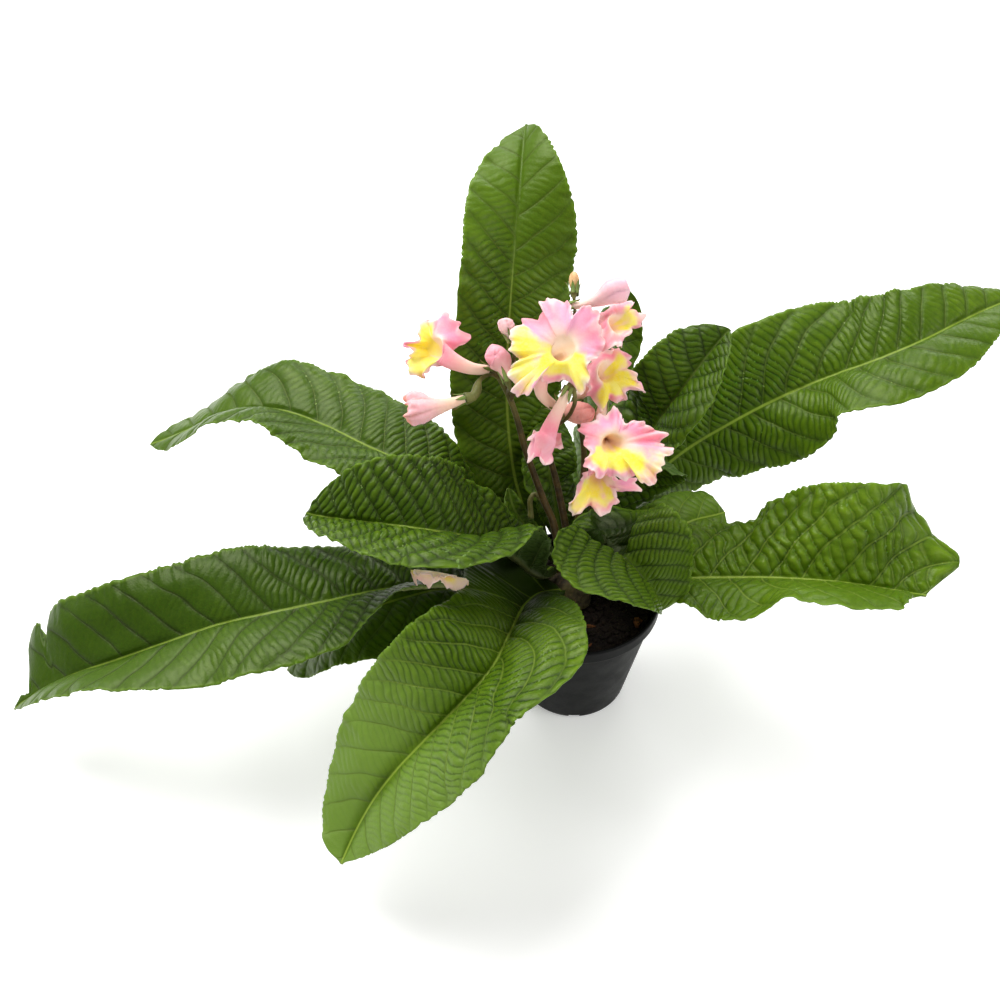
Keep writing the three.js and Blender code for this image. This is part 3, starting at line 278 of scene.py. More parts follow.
        [-42.3,39.9,133.8,2.2,2.2,40,40],
        [-42.8,41.0,135.0,0.2,0.2,40,40],
    ],
}
COROLLAS = {
    "corolla_main": {"mouth": [-13.1,17.2,262.0], "axis": [-0.214,-0.633,0.744], "r0": 2.6, "rm": 6.5,
      "tube": [[-16.2,10.4,226.0],[-24.9,10.0,238.0],[-22.9,13.9,252.0]],
      "edge": [[-9.2,36.1,277.9,0], [-11.1,42.4,277.3,0], [-16.6,45.1,276.7,0], [-23.2,46.3,275.8,0], [-26.6,45.2,275.2,0],
        [-25.0,42.3,274.6,0], [-23.9,39.1,273.5,0], [-25.6,37.7,271.9,0], [-30.0,35.5,270.1,0], [-35.5,36.5,270.7,0],
        [-37.2,33.4,270.2,0], [-36.7,30.8,269.5,0.5], [-40.6,29.4,268.5,0.6], [-42.2,26.3,266.7,0.5], [-41.7,24.0,265.0,0.8],
        [-42.3,20.3,263.0,0.7], [-43.9,17.7,261.6,0.6], [-41.2,15.9,260.9,0.9], [-37.3,13.1,259.6,1], [-41.2,8.8,257.5,0.9],
        [-43.9,6.3,254.6,0.7], [-41.7,2.9,252.4,0.7], [-38.5,0.7,251.4,0.7], [-41.7,-1.7,248.5,0.3], [-39.0,-4.3,247.1,0.3],
        [-36.3,-3.5,248.5,0.6], [-34.1,-5.5,247.4,0.3], [-31.9,-5.5,248.1,0.3], [-31.4,-3.1,250.3,0.7], [-28.1,0.5,251.6,0.7],
        [-26.3,6.0,251.4,0.6], [-25.1,7.6,246.4,0.2], [-20.6,8.9,244.7,0.1], [-14.6,9.1,246.6,0.1], [-8.6,6.4,247.4,0.1],
        [-5.5,0.5,247.3,0.3], [-4.0,-2.2,246.8,0.5], [-1.3,-1.0,250.0,0.6], [0.8,2.1,254.5,0.8], [0.3,6.8,258.4,0.7],
        [2.1,10.7,259.5,0.2], [6.1,14.5,259.9,0], [8.4,19.2,261.8,0], [9.2,26.2,265.4,0], [7.6,32.1,269.9,0],
        [5.9,35.8,273.9,0], [3.1,36.8,276.6,0], [-0.3,36.2,277.8,0], [-4.9,33.2,278.0,0], [-7.7,28.2,276.9,0]]},
    "corolla_left": {"mouth": [-83.2,32.4,250.0], "axis": [-0.789,-0.407,0.46], "r0": 2.6, "rm": 6.5,
      "tube": [[-55.1,29.4,238.0],[-64.6,25.0,243.0],[-74.1,26.3,247.0]],
      "edge": [[-87.5,49.7,258.0,0.5], [-90.2,48.2,258.4,0.5], [-93.0,44.1,256.6,0.7], [-95.1,39.3,255.3,0.7], [-97.1,34.0,255.8,0.3],
        [-101.0,33.8,255.4,0.1], [-104.6,35.3,252.8,0], [-104.0,33.3,252.1,0], [-99.4,32.1,252.4,0.1], [-97.2,31.2,251.0,0.3],
        [-96.1,30.0,249.7,0.6], [-98.4,29.4,247.4,0.7], [-101.9,29.6,243.6,0.4], [-100.2,26.6,241.8,0.6], [-97.3,23.2,239.4,0.7],
        [-93.9,21.5,239.4,0.7], [-90.4,21.8,241.3,0.6], [-88.3,24.8,241.0,0.2], [-85.0,27.4,242.5,0], [-81.0,29.8,244.9,0],
        [-76.0,33.2,247.9,0], [-70.9,37.2,249.1,0], [-68.1,39.0,251.3,0], [-69.8,42.5,253.6,0], [-72.1,46.1,255.0,0],
        [-75.0,50.3,258.2,0], [-77.9,53.3,260.2,0], [-81.2,51.5,259.4,0], [-84.0,49.6,259.4,0.3]]},
    "corolla_low_right": {"mouth": [14.4,-18.6,224.0], "axis": [0.119,-0.643,0.756], "r0": 2.6, "rm": 6.5,
      "tube": [[11.5,20.3,222.0],[9.3,13.9,214.0],[10.6,-3.2,217.0]],
      "edge": [[20.3,-5.1,231.9,0], [18.8,-1.1,232.9,0], [16.7,3.2,234.3,0], [13.9,0.8,232.7,0], [11.1,-2.0,230.7,0],
        [7.7,-1.9,231.3,0], [3.2,-5.6,230.2,0], [-1.9,-7.4,229.5,0], [-4.2,-10.1,228.9,0], [-1.5,-14.3,227.5,0],
        [-0.5,-19.1,225.9,0], [0.5,-22.3,224.4,0], [1.4,-26.3,223.5,0.3], [-0.8,-28.9,222.9,0.4], [-0.9,-32.6,221.1,0.2],
        [1.3,-34.9,218.8,0.1], [5.2,-35.1,216.8,0.1], [8.5,-35.6,215.8,0.1], [10.9,-31.5,214.9,0.1], [14.4,-30.5,212.5,0.1],
        [18.7,-33.0,211.1,0.1], [22.5,-33.0,211.8,0.1], [25.7,-31.8,213.7,0.2], [27.7,-32.6,216.7,0.6], [28.0,-37.4,215.2,0.8],
        [31.3,-38.7,213.5,0.4], [35.8,-38.0,212.1,0.3], [39.2,-33.1,215.7,0.6], [41.0,-29.7,217.0,0.7], [43.0,-23.8,219.1,0.7],
        [46.6,-19.9,219.2,0.3], [48.7,-15.3,218.8,0.1], [45.2,-16.8,219.4,0.4], [43.2,-14.2,219.3,0.3], [43.4,-10.1,220.1,0],
        [45.3,-6.6,221.5,0], [38.4,-6.3,224.1,0], [32.7,-5.0,227.4,0], [27.0,-4.6,230.0,0], [21.2,-8.7,231.4,0]]},
    "corolla_lowest": {"mouth": [8.7,-15.2,196.0], "axis": [-0.099,-0.95,0.296], "r0": 2.6, "rm": 6.5,
      "tube": [[7.7,14.8,198.0],[7.4,5.2,195.0],[7.5,-5.0,195.0]],
      "edge": [[4.5,-9.7,195.5,0], [-0.1,-10.5,194.7,0], [-2.3,-13.5,191.2,0], [-4.1,-17.3,188.6,0.1], [-6.4,-21.0,185.9,0.4],
        [-8.7,-23.6,183.7,0.9], [-7.5,-27.2,179.3,0.9], [-2.5,-28.0,181.6,0.7], [0.2,-27.7,183.7,0.4], [4.2,-28.4,182.8,0.3],
        [7.5,-28.6,183.0,0.3], [10.4,-29.2,182.1,0.1], [13.8,-28.7,181.5,0.1], [15.5,-27.1,183.9,0.1], [18.3,-25.9,185.1,0.1],
        [19.4,-24.5,186.9,0.1], [18.3,-22.8,188.4,0.2], [17.7,-19.5,192.2,0.1], [20.3,-18.2,187.1,0], [25.1,-16.1,185.1,0],
        [29.7,-15.3,185.9,0], [33.8,-13.6,185.9,0], [29.8,-11.6,187.9,0], [29.3,-8.8,189.9,0], [20.6,-9.9,190.2,0],
        [14.8,-10.5,193.1,0], [9.6,-10.5,194.7,0]]},
    "corolla_top_right": {"mouth": [17.3,39.7,262.0], "axis": [0.553,-0.3,0.777], "r0": 2.4, "rm": 5.5,
      "tube": [[4.0,45.8,238.0],[7.0,46.0,248.0],[12.0,41.7,257.0]],
      "edge": [[15.8,55.7,264.1,0], [11.1,51.2,263.1,0], [9.3,48.1,260.6,0], [8.4,39.0,259.0,0], [8.6,30.8,258.3,0],
        [9.9,22.9,258.2,0], [14.4,23.4,257.8,0], [17.8,25.6,257.4,0], [20.8,28.1,256.3,0], [21.4,30.3,258.0,0.1],
        [22.7,33.6,258.3,0.4], [26.3,37.1,258.4,0.4], [27.6,41.0,259.0,0.5], [30.1,44.4,258.5,0.4], [33.2,46.3,257.0,0.1],
        [31.8,52.7,259.2,0.2], [29.6,56.2,260.8,0.3], [26.2,56.4,262.1,0.5], [27.7,62.2,260.6,0.2], [26.1,64.8,261.5,0.1],
        [21.7,59.6,263.9,0]]},
    "corolla_right": {"mouth": [12.0,25.2,240.0], "axis": [0.543,-0.638,0.546], "r0": 2.5, "rm": 6.0,
      "tube": [[-2.5,34.3,214.0],[1.7,31.0,222.0],[6.8,27.0,232.0]],
      "edge": [[6.1,35.5,243.3,0], [3.2,30.7,240.6,0], [1.9,24.9,238.8,0], [0.7,19.7,235.7,0], [1.8,16.8,233.1,0],
        [4.1,15.2,230.7,0.1], [6.3,12.9,227.6,0.6], [8.0,10.2,224.6,0.6], [10.4,11.0,223.2,0.5], [12.7,13.4,225.6,0.5],
        [15.6,16.4,226.1,0.1], [19.8,17.7,223.5,0.1], [24.6,20.8,222.4,0.2], [22.7,21.5,226.9,0.2], [24.3,21.6,229.1,0.2],
        [29.4,22.7,228.9,0.2], [34.9,24.7,225.8,0.1], [35.5,27.9,229.0,0.1], [31.8,26.5,230.9,0.2], [30.7,28.7,232.8,0.4],
        [28.4,31.0,236.0,0.5], [25.5,31.6,237.7,0.6], [29.1,35.2,238.4,0.1], [26.8,36.8,240.8,0.3], [23.9,38.5,243.8,0.4],
        [21.7,41.1,245.3,0.3], [15.9,38.9,244.9,0.4], [10.7,38.2,245.5,0.1]]},
    "corolla_drooping": {"mouth": [-21.5,-5.5,219.0], "axis": [-0.353,-0.731,-0.585], "r0": 2.4, "rm": 5.0,
      "tube": [[-10.4,6.5,242.0],[-13.9,1.8,235.5],[-18.3,-1.9,227.0]],
      "edge": [[-19.6,-1.0,213.5,0], [-15.2,-3.7,213.7,0], [-12.4,-7.1,213.0,0], [-14.8,-10.2,212.7,0], [-18.2,-12.4,213.2,0],
        [-18.8,-15.9,211.1,0], [-20.5,-18.2,210.2,0], [-23.3,-17.8,210.6,0.1], [-24.9,-15.1,213.4,0], [-27.7,-14.7,212.3,0],
        [-31.6,-13.6,210.5,0], [-32.1,-10.9,213.4,0], [-31.0,-7.0,217.4,0], [-31.5,-3.2,218.5,0], [-24.7,-0.6,216.9,0]]},
}
BUDS = {
    "bud_low_left": {"line": [[-67.9,11.1,232.0],[-76.9,7.9,231.0],[-86.9,5.7,230.0],[-97.1,7.2,228.0],[-100.5,7.5,227.0]], "r": [2.6,4.6,7.6,9.6,6.0,1.0], "rt": [0,0.25,0.55,0.8,0.95,1]},
    "bud_mid": {"line": [[-43.8,17.7,241.0],[-46.1,24.3,245.0],[-50.0,28.6,248.0],[-56.2,28.3,249.0]], "r": [2.0,4.4,7.2,7.0,3.8,1.0], "rt": [0,0.3,0.6,0.8,0.94,1]},
    "bud_pale": {"line": [[-41.6,33.1,258.0],[-43.3,35.5,261.0],[-44.4,37.6,265.0],[-44.4,39.6,267.0]], "r": [1.6,3.4,4.6,4.0,0.8], "rt": [0,0.3,0.6,0.9,1]},
    "bud_top": {"line": [[-7.5,54.8,264.0],[0.1,51.3,268.0],[8.4,50.5,272.0],[17.1,51.2,277.0],[24.8,50.8,278.0]], "r": [2.0,2.6,5.0,7.6,6.6,1.2], "rt": [0,0.3,0.55,0.78,0.93,1]},
    "bud_salmon": {"line": [[-9.8,23.0,213.0],[-5.5,18.6,216.0],[1.2,15.4,218.0],[6.3,16.0,219.0]], "r": [2.5,6.0,6.8,5.6,1.2], "rt": [0,0.3,0.6,0.85,1]},
    "bud_tan": {"line": [[-5.6,63.6,268.0],[-5.6,67.6,270.0],[-5.5,71.6,272.0],[-5.4,75.1,273.0]], "r": [1.2,2.6,3.0,2.0,0.6], "rt": [0,0.3,0.6,0.88,1]},
    "wilted_flower": {"line": [[-66.5,-36.4,131.0],[-76.9,-37.4,135.0],[-86.2,-36.4,136.5],[-94.4,-34.7,136.0],[-99.8,-33.0,135.0]], "r": [1.5,2.8,4.0,4.5,3.0,0.8], "rt": [0,0.25,0.5,0.75,0.92,1]},
}
STALKS = {
    "stalk_left": [
        {"line": [[-10.7,11.2,88.0],[-12.8,12.5,118.0],[-16.2,13.6,135.0],[-20.7,15.2,147.0],[-26.9,18.8,165.0],[-33.1,22.4,185.0],[-38.5,27.6,206.0],[-43.2,29.8,220.0],[-47.8,30.6,230.5],[-50.6,31.5,235.6],[-54.55,29.71,237.7]], "r": [2.2,1.3], "cal": 1},
        {"line": [[-47.8,30.6,230.5],[-52.9,28.3,236.0],[-59.0,22.4,236.5],[-62.8,12.9,232.6],[-67.29,11.33,232.07]], "r": [1.2,1.3], "cal": 1},
        {"line": [[-43.2,29.8,220.0],[-42.6,23.5,229.0],[-42.3,13.2,238.3],[-43.65,17.17,240.65]], "r": [1.2,1.2], "cal": 1},
        {"line": [[-41.4,28.1,217.0],[-38.1,26.6,233.0],[-39.9,29.0,247.0],[-39.4,29.8,254.1],[-41.33,32.65,257.5]], "r": [1.2,1.0], "cal": 1},
        {"line": [[-18.1,15.4,140.0],[-23.0,17.8,147.0],[-27.3,19.9,150.0],[-29.4,17.6,148.0],[-29.3,15.1,142.0],[-29.0,12.4,137.0]], "r": [1.1,1.8], "cal": 0},
    ],
    "stalk_centre": [
        {"line": [[-4.6,7.8,88.0],[-6.3,18.0,115.0],[-10.0,20.1,138.0],[-14.1,23.7,158.0],[-18.8,24.0,178.0],[-22.0,25.1,192.0],[-21.2,20.8,205.0],[-13.0,10.5,221.5],[-15.81,10.39,225.43]], "r": [2.1,1.3], "cal": 1},
        {"line": [[-21.0,21.5,199.0],[-12.3,15.7,211.0],[-7.3,7.5,227.0],[-6.1,5.1,237.0],[-8.5,9.0,245.4],[-10.09,6.88,242.52]], "r": [1.2,1.2], "cal": 1},
        {"line": [[-21.0,21.5,199.0],[-16.6,22.0,207.0],[-13.3,26.5,210.6],[-10.24,23.45,212.69]], "r": [1.2,1.2], "cal": 1},
    ],
    "stalk_right": [
        {"line": [[-2.9,1.0,88.0],[-1.0,15.1,118.0],[2.2,28.6,145.0],[3.1,34.8,160.0],[1.9,37.3,178.0],[-0.3,37.2,190.0],[-4.9,36.2,209.4],[-2.81,34.55,213.42]], "r": [2.1,1.3], "cal": 1},
        {"line": [[-1.1,37.7,195.0],[0.6,38.8,214.0],[2.6,43.1,227.0],[2.4,45.8,232.7],[3.75,45.83,237.33]], "r": [1.3,1.2], "cal": 1},
        {"line": [[0.6,38.8,214.0],[-3.5,45.6,236.0],[-7.2,52.9,252.0],[-12.0,56.9,261.6],[-8.08,55.04,263.7]], "r": [1.2,1.1], "cal": 1},
        {"line": [[-6.6,52.9,252.0],[-5.0,58.3,260.0],[-5.7,58.7,265.5],[-5.64,62.98,267.69]], "r": [0.9,0.9], "cal": 1},
    ],
    "stalk_low": [
        {"line": [[2.8,4.4,88.0],[5.4,13.3,111.0],[8.7,21.9,143.0],[7.7,21.7,180.0],[12.7,23.7,226.2],[11.64,20.77,222.53]], "r": [2.0,1.3], "cal": 1},
        {"line": [[8.4,23.7,158.0],[9.2,22.2,174.0],[7.9,20.0,199.6],[7.77,15.46,198.21]], "r": [1.2,1.2], "cal": 1},
    ],
}

# ------------------------------------------------------------------ numbers
def curve(ts, ys, flat=False):
    """Piecewise cubic through (ts, ys); flat keeps it from overshooting."""
    ts, ys = np.asarray(ts, float), np.asarray(ys, float)
    h = np.diff(ts); d = np.diff(ys) / h; n = len(ts)
    m = np.zeros(n); m[0] = d[0]; m[-1] = d[-1]
    for i in range(1, n - 1):
        if flat and d[i - 1] * d[i] <= 0:
            m[i] = 0
        elif flat:
            m[i] = 3 * (h[i - 1] + h[i]) / ((2 * h[i] + h[i - 1]) / d[i - 1] + (h[i] + 2 * h[i - 1]) / d[i])
        else:
            m[i] = (d[i - 1] * h[i] + d[i] * h[i - 1]) / (h[i - 1] + h[i])
    def f(t):
        t = np.asarray(t, float)
        i = np.clip(np.searchsorted(ts, t, side="right") - 1, 0, n - 2)
        hh = h[i]; u = (t - ts[i]) / hh
        return ((2 * u**3 - 3 * u**2 + 1) * ys[i] + (u**3 - 2 * u**2 + u) * hh * m[i]
                + (-2 * u**3 + 3 * u**2) * ys[i + 1] + (u**3 - u**2) * hh * m[i + 1])
    return f

def smooth(a, b, x):
    u = np.clip((np.asarray(x, float) - a) / (b - a), 0, 1)
    return u * u * (3 - 2 * u)

def lattice(seed):
    return np.random.RandomState(seed).rand(256, 256) * 2 - 1

def noise2(x, y, seed=1):
    """Smooth noise in -1..1 with unit-sized features."""
    g = lattice(seed)
    x, y = np.broadcast_arrays(np.asarray(x, float), np.asarray(y, float))
    i, j = np.floor(x).astype(int), np.floor(y).astype(int)
    u, v = x - i, y - j
    u, v = u * u * (3 - 2 * u), v * v * (3 - 2 * v)
    a, b = g[i & 255, j & 255], g[(i + 1) & 255, j & 255]
    c, d = g[i & 255, (j + 1) & 255], g[(i + 1) & 255, (j + 1) & 255]
    return (a * (1 - u) + b * u) * (1 - v) + (c * (1 - u) + d * u) * v

def hashed(i, j, seed=7):
    """A fixed number in 0..1 for each whole-number pair."""
    return (lattice(seed)[np.asarray(i).astype(int) & 255, np.asarray(j).astype(int) & 255] + 1) / 2

def unit(a):
    return a / np.maximum(np.linalg.norm(a, axis=-1, keepdims=True), 1e-9)

def grid_normals(P, ring=False):
    """Normals of a grid of points (rows, columns, 3)."""
    du = np.gradient(P, axis=0)
    if ring:
        Q = np.concatenate([P[:, -1:], P, P[:, :1]], axis=1)
        dv = (Q[:, 2:] - Q[:, :-2]) / 2
    else:
        dv = np.gradient(P, axis=1)
    return unit(np.cross(du, dv))

# ------------------------------------------------------------------ meshes
def make_mesh(name, verts_mm, faces, attrs=None, mat=None, replaces=None, slot=None, smooth_shade=True):
    """One object from points in millimetres and faces of 3 or 4 corners. attrs: {name: (n, 4) colours}."""
    me = bpy.data.meshes.new(name)
    V = np.asarray(verts_mm, np.float32) * 0.001
    me.vertices.add(len(V)); me.vertices.foreach_set("co", V.ravel())
    loops = np.concatenate([np.asarray(f, np.int32).ravel() for f in faces if len(f)])
    sizes = np.concatenate([np.full(len(f), np.asarray(f).shape[1], np.int32) for f in faces if len(f)])
    starts = np.concatenate([[0], np.cumsum(sizes)[:-1]]).astype(np.int32)
    me.loops.add(len(loops)); me.loops.foreach_set("vertex_index", loops)
    me.polygons.add(len(sizes)); me.polygons.foreach_set("loop_start", starts)
    me.polygons.foreach_set("loop_total", sizes)
    me.update(calc_edges=True)
    me.validate()
    for key, val in (attrs or {}).items():
        a = me.attributes.new(key, "FLOAT_COLOR", "POINT")
        a.data.foreach_set("color", np.asarray(val, np.float32).ravel())
    me.polygons.foreach_set("use_smooth", np.full(len(me.polygons), smooth_shade))
    ob = bpy.data.objects.new(name, me)
    bpy.context.scene.collection.objects.link(ob)
    if mat is not None:
        me.materials.append(mat)
    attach(ob, "root")
    if replaces:
        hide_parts(*([replaces] if isinstance(replaces, str) else replaces))
    return ob

class Build:
    """Collects pieces of one mesh with their attributes."""
    def __init__(self, keys):
        self.keys, self.V, self.F, self.A, self.n = keys, [], [], {k: [] for k in keys}, 0
    def add(self, V, faces, attrs):
        for f in faces:
            if len(f):
                self.F.append(np.asarray(f) + self.n)
        self.V.append(V)
        for k in self.keys:
            self.A[k].append(attrs[k])
        self.n += len(V)
    def done(self, name, **kw):
        return make_mesh(name, np.vstack(self.V), self.F, {k: np.vstack(v) for k, v in self.A.items()}, **kw)

def shell_open(top, bottom_full, attrs_top, attrs_bottom):
    """Closed shell from a fine top grid and its underside taken at every second row and column. Both counts are odd."""
    R, C = top.shape[:2]
    bot = bottom_full[::2, ::2]
    r, c = bot.shape[:2]
    V = np.concatenate([top.reshape(-1, 3), bot.reshape(-1, 3)])
    T = np.arange(R * C).reshape(R, C)
    B = np.arange(r * c).reshape(r, c) + R * C
    q1 = np.stack([T[:-1, :-1], T[1:, :-1], T[1:, 1:], T[:-1, 1:]], -1).reshape(-1, 4)
    q2 = np.stack([B[:-1, :-1], B[:-1, 1:], B[1:, 1:], B[1:, :-1]], -1).reshape(-1, 4)
    tl, bl = [], []
    ring_t = np.concatenate([T[0, :], T[1:, -1], T[-1, -2::-1], T[-2:0:-1, 0]])
    ring_b = np.concatenate([B[0, :], B[1:, -1], B[-1, -2::-1], B[-2:0:-1, 0]])
    n = len(ring_b)
    k = np.arange(n)
    t0, t1, t2 = ring_t[2 * k], ring_t[(2 * k + 1) % len(ring_t)], ring_t[(2 * k + 2) % len(ring_t)]
    b0, b1 = ring_b[k], ring_b[(k + 1) % n]
    tri = np.concatenate([np.stack([t0, t1, b0], -1), np.stack([t1, b1, b0], -1), np.stack([t1, t2, b1], -1)])
    A = {key: np.concatenate([attrs_top[key].reshape(R * C, 4), attrs_bottom[key][::2, ::2].reshape(-1, 4)]) for key in attrs_top}
    return V, q1, q2, tri, A

def outward(V, faces):
    """Flip every face if the closed mesh is inside out."""
    vol = 0.0
    for f in faces:
        f = np.asarray(f)
        for k in range(1, f.shape[1] - 1):
            a, b, c = V[f[:, 0]], V[f[:, k]], V[f[:, k + 1]]
            vol += np.einsum("ij,ij->i", a, np.cross(b, c)).sum()
    return faces if vol > 0 else [np.asarray(f)[:, ::-1] for f in faces]

# ------------------------------------------------------------------ node helpers
class Nodes:
    def __init__(self, name):
        self.mat = bpy.data.materials.new(name)
        self.mat.use_nodes = True
        self.t = self.mat.node_tree
        self.t.nodes.clear()
        self.out = self.t.nodes.new("ShaderNodeOutputMaterial")
        self.bsdf = self.t.nodes.new("ShaderNodeBsdfPrincipled")
        self.t.links.new(self.bsdf.outputs[0], self.out.inputs[0])
    def put(self, socket, v):
        if hasattr(v, "is_output"):
            self.t.links.new(v, socket)
        elif isinstance(v, (tuple, list)) and len(v) == 3 and socket.type == "RGBA":
            socket.default_value = (*v, 1)
        else:
            socket.default_value = v
    def node(self, kind, **props):
        n = self.t.nodes.new(kind)
        for k, v in props.items():
            setattr(n, k, v)
        return n
    def attr(self, name):
        n = self.node("ShaderNodeAttribute", attribute_name=name)
        s = self.node("ShaderNodeSeparateColor")
        self.t.links.new(n.outputs["Color"], s.inputs[0])
        return s.outputs[0], s.outputs[1], s.outputs[2], n.outputs["Alpha"]
    def coords(self):
        return self.node("ShaderNodeTexCoord").outputs["Object"]
    def noise(self, scale, detail=2, rough=0.5, vec=None, dist=0.0):
        n = self.node("ShaderNodeTexNoise")
        self.put(n.inputs["Vector"], vec or self.coords())
        n.inputs["Scale"].default_value = scale
        n.inputs["Detail"].default_value = detail
        n.inputs["Roughness"].default_value = rough
        n.inputs["Distortion"].default_value = dist
        return n.outputs["Fac"]
    def voronoi(self, scale, feature="F1", vec=None, rnd=1.0):
        n = self.node("ShaderNodeTexVoronoi", feature=feature)
        self.put(n.inputs["Vector"], vec or self.coords())
        n.inputs["Scale"].default_value = scale
        n.inputs["Randomness"].default_value = rnd
        return n.outputs["Distance"]
    def math(self, op, a, b=0.0, c=None, clamp=False):
        n = self.node("ShaderNodeMath", operation=op, use_clamp=clamp)
        self.put(n.inputs[0], a); self.put(n.inputs[1], b)
        if c is not None:
            self.put(n.inputs[2], c)
        return n.outputs[0]
    def mul(self, a, b): return self.math("MULTIPLY", a, b)
    def add(self, a, b): return self.math("ADD", a, b)
    def ramp(self, x, lo, hi, a=0.0, b=1.0, smooth=True):
        n = self.node("ShaderNodeMapRange", interpolation_type="SMOOTHSTEP" if smooth else "LINEAR")
        n.clamp = True
        self.put(n.inputs[0], x)
        for i, v in enumerate((lo, hi, a, b), 1):
            n.inputs[i].default_value = v
        return n.outputs[0]
    def mix(self, f, a, b, blend="MIX"):
        n = self.node("ShaderNodeMix", data_type="RGBA", blend_type=blend)
        self.put(n.inputs[0], f)
        self.put(n.inputs[6], a); self.put(n.inputs[7], b)
        return n.outputs[2]
    def bump(self, h, strength, dist, normal=None):
        n = self.node("ShaderNodeBump")
        n.inputs["Strength"].default_value = strength
        n.inputs["Distance"].default_value = dist
        self.put(n.inputs["Height"], h)
        if normal is not None:
            self.put(n.inputs["Normal"], normal)
        return n.outputs[0]
    def set(self, **kw):
        for k, v in kw.items():
            self.put(self.bsdf.inputs[k.replace("_", " ")], v)
        return self.mat

def lin(r, g, b):
    """sRGB 0..255 to linear."""
    return tuple((c / 255 / 12.92) if c / 255 <= 0.04045 else ((c / 255 + 0.055) / 1.055) ** 2.4 for c in (r, g, b))

# ------------------------------------------------------------------ leaf material
def leaf_material(name, dark, mid, light, rib, gloss=0.36, crisp=0.35, vein_groove_shade=(0.45, 0.45), crease_shade=0.30, spec=0.28, pinch=0):
    """m1 = (vein, midrib, height, top); m2 = (along, across, lime, shade); m3 = (side-vein count, ladder count,
    strength, painted sheen).
    """
    N = Nodes(name)
    vein, midrib, hgt, top = N.attr("m1")
    t, v, lime, shade = N.attr("m2")
    U, T, amp, tip = N.attr("m3")
    big = N.noise(14, 3, 0.55)
    med = N.noise(60, 3, 0.6)
    fine = N.noise(420, 2, 0.6)
    fold = lambda x: N.math("PINGPONG", x, 0.5)
    xu, xt = fold(U), fold(T)
    line = N.mul(N.ramp(xu, 0.012, 0.05, 1.0, 0.0), N.ramp(v, 0.55, 1.0, 1.0, 0.25))
    away = N.ramp(xu, 0.02, 0.09)
    crease = N.mul(N.mul(N.ramp(xt, 0.0, 0.22, 1.0, 0.0), away), N.ramp(amp, 0.05, 0.9))
    crease = N.mul(crease, N.ramp(midrib, 0.1, 0.5, 1.0, 0.0))
    # blade colour from the valleys to the crests of the quilting, drifting over the blade: darker in the valleys is
    # painted shade, paler on the crests is a painted grey-green sheen
    k = N.add(N.mul(hgt, 0.95), N.mul(N.math("SUBTRACT", big, 0.5), 0.9))
    k = N.add(k, N.mul(N.math("SUBTRACT", med, 0.5), 0.4))
    k = N.math("SUBTRACT", k, N.mul(crease, 0.35))
    c = N.mix(N.ramp(k, -0.05, 0.5), dark, mid)
    c = N.mix(N.ramp(k, 0.45, 1.15), c, light)
    c = N.mix(N.mul(N.ramp(fine, 0.3, 0.7), 0.16), c, light)
    # lime: the margin band is partly the blade's own paler edge and partly painted back-light through the thin margin;
    # towards the tip it is the blade's own colour
    c = N.mix(N.mul(lime, 0.8), c, lin(112, 146, 34))
    # painted sheen: part of the blade paled to grey-green, as if it reflected the sky
    c = N.mix(N.mul(tip, 0.72), c, lin(116, 146, 62))
    # painted shade: the blade darkened where the shade channel is high, near the crown and down in the hollow
    c = N.mix(N.ramp(shade, 0.0, 1.0, 0.0, 0.85), c, tuple(x * 0.5 for x in dark))
    # painted shade: the ladder creases darkened, less where the blade is already shaded; on pinched blades they are
    # paled towards the rib colour instead
    c = N.mix(N.mul(N.mul(N.ramp(crease, 0.45, 1.0) if pinch else crease, crease_shade), N.ramp(shade, 0, 1, 1, 0.4)), c, tuple(0.5 * (a + b) for a, b in zip(light, rib)) if pinch else dark)
    # side-vein lines: paler rib green, or dark green as painted shade in their grooves where the groove-shade setting
    # is high
    c = N.mix(N.mul(line, 0.62), c, N.mix(N.ramp(t, 0.48, 0.66, vein_groove_shade[0], vein_groove_shade[1]), N.mix(0.8, mid, rib), dark))
    c = N.mix(N.ramp(midrib, 0.25, 0.75), c, rib)
    # the underside is also painted darker in its valleys and paler on its crests
    under = N.mix(N.ramp(k, 0.0, 1.0), lin(70, 98, 40), lin(104, 130, 66))
    under = N.mix(N.mul(line, 0.6), under, lin(140, 154, 92))
    under = N.mix(N.ramp(midrib, 0.15, 0.75), under, lin(150, 158, 98))
    # the underside gets the same painted shade
    under = N.mix(N.ramp(shade, 0.0, 1.0, 0.0, 0.88), under, tuple(x * 0.7 for x in dark))
    c = N.mix(top, under, c)
    cells = N.voronoi(900, "F1")
    hb = N.add(N.mul(cells, 0.4), N.mul(fine, 0.8))
    deep = N.math("SUBTRACT", 1.0, N.math("MAXIMUM", crease, N.mul(line, 0.8)))
    b = N.bump(deep, crisp, 0.0009)
    b = N.bump(hb, 0.35, 0.0005, b)
    r = N.add(N.ramp(hgt, 0.2, 1.0, gloss + 0.14, gloss - 0.05), N.mul(N.math("SUBTRACT", med, 0.5), 0.14))
    N.set(Base_Color=c, Roughness=r, Normal=b, Specular_IOR_Level=spec, IOR=1.42)
    N.bsdf.inputs["Specular Tint"].default_value = (0.97, 1.0, 0.66, 1)
    N.bsdf.inputs["Subsurface Weight"].default_value = 0.08
    N.bsdf.inputs["Subsurface Radius"].default_value = (0.35, 0.8, 0.12)
    N.bsdf.inputs["Subsurface Scale"].default_value = 0.0015
    N.bsdf.inputs["Sheen Weight"].default_value = 0.03
    N.bsdf.inputs["Sheen Roughness"].default_value = 0.45
    N.bsdf.inputs["Sheen Tint"].default_value = (0.85, 0.95, 0.55, 1)
    return N.mat

# ------------------------------------------------------------------ leaves
CUP = math.radians(-30)
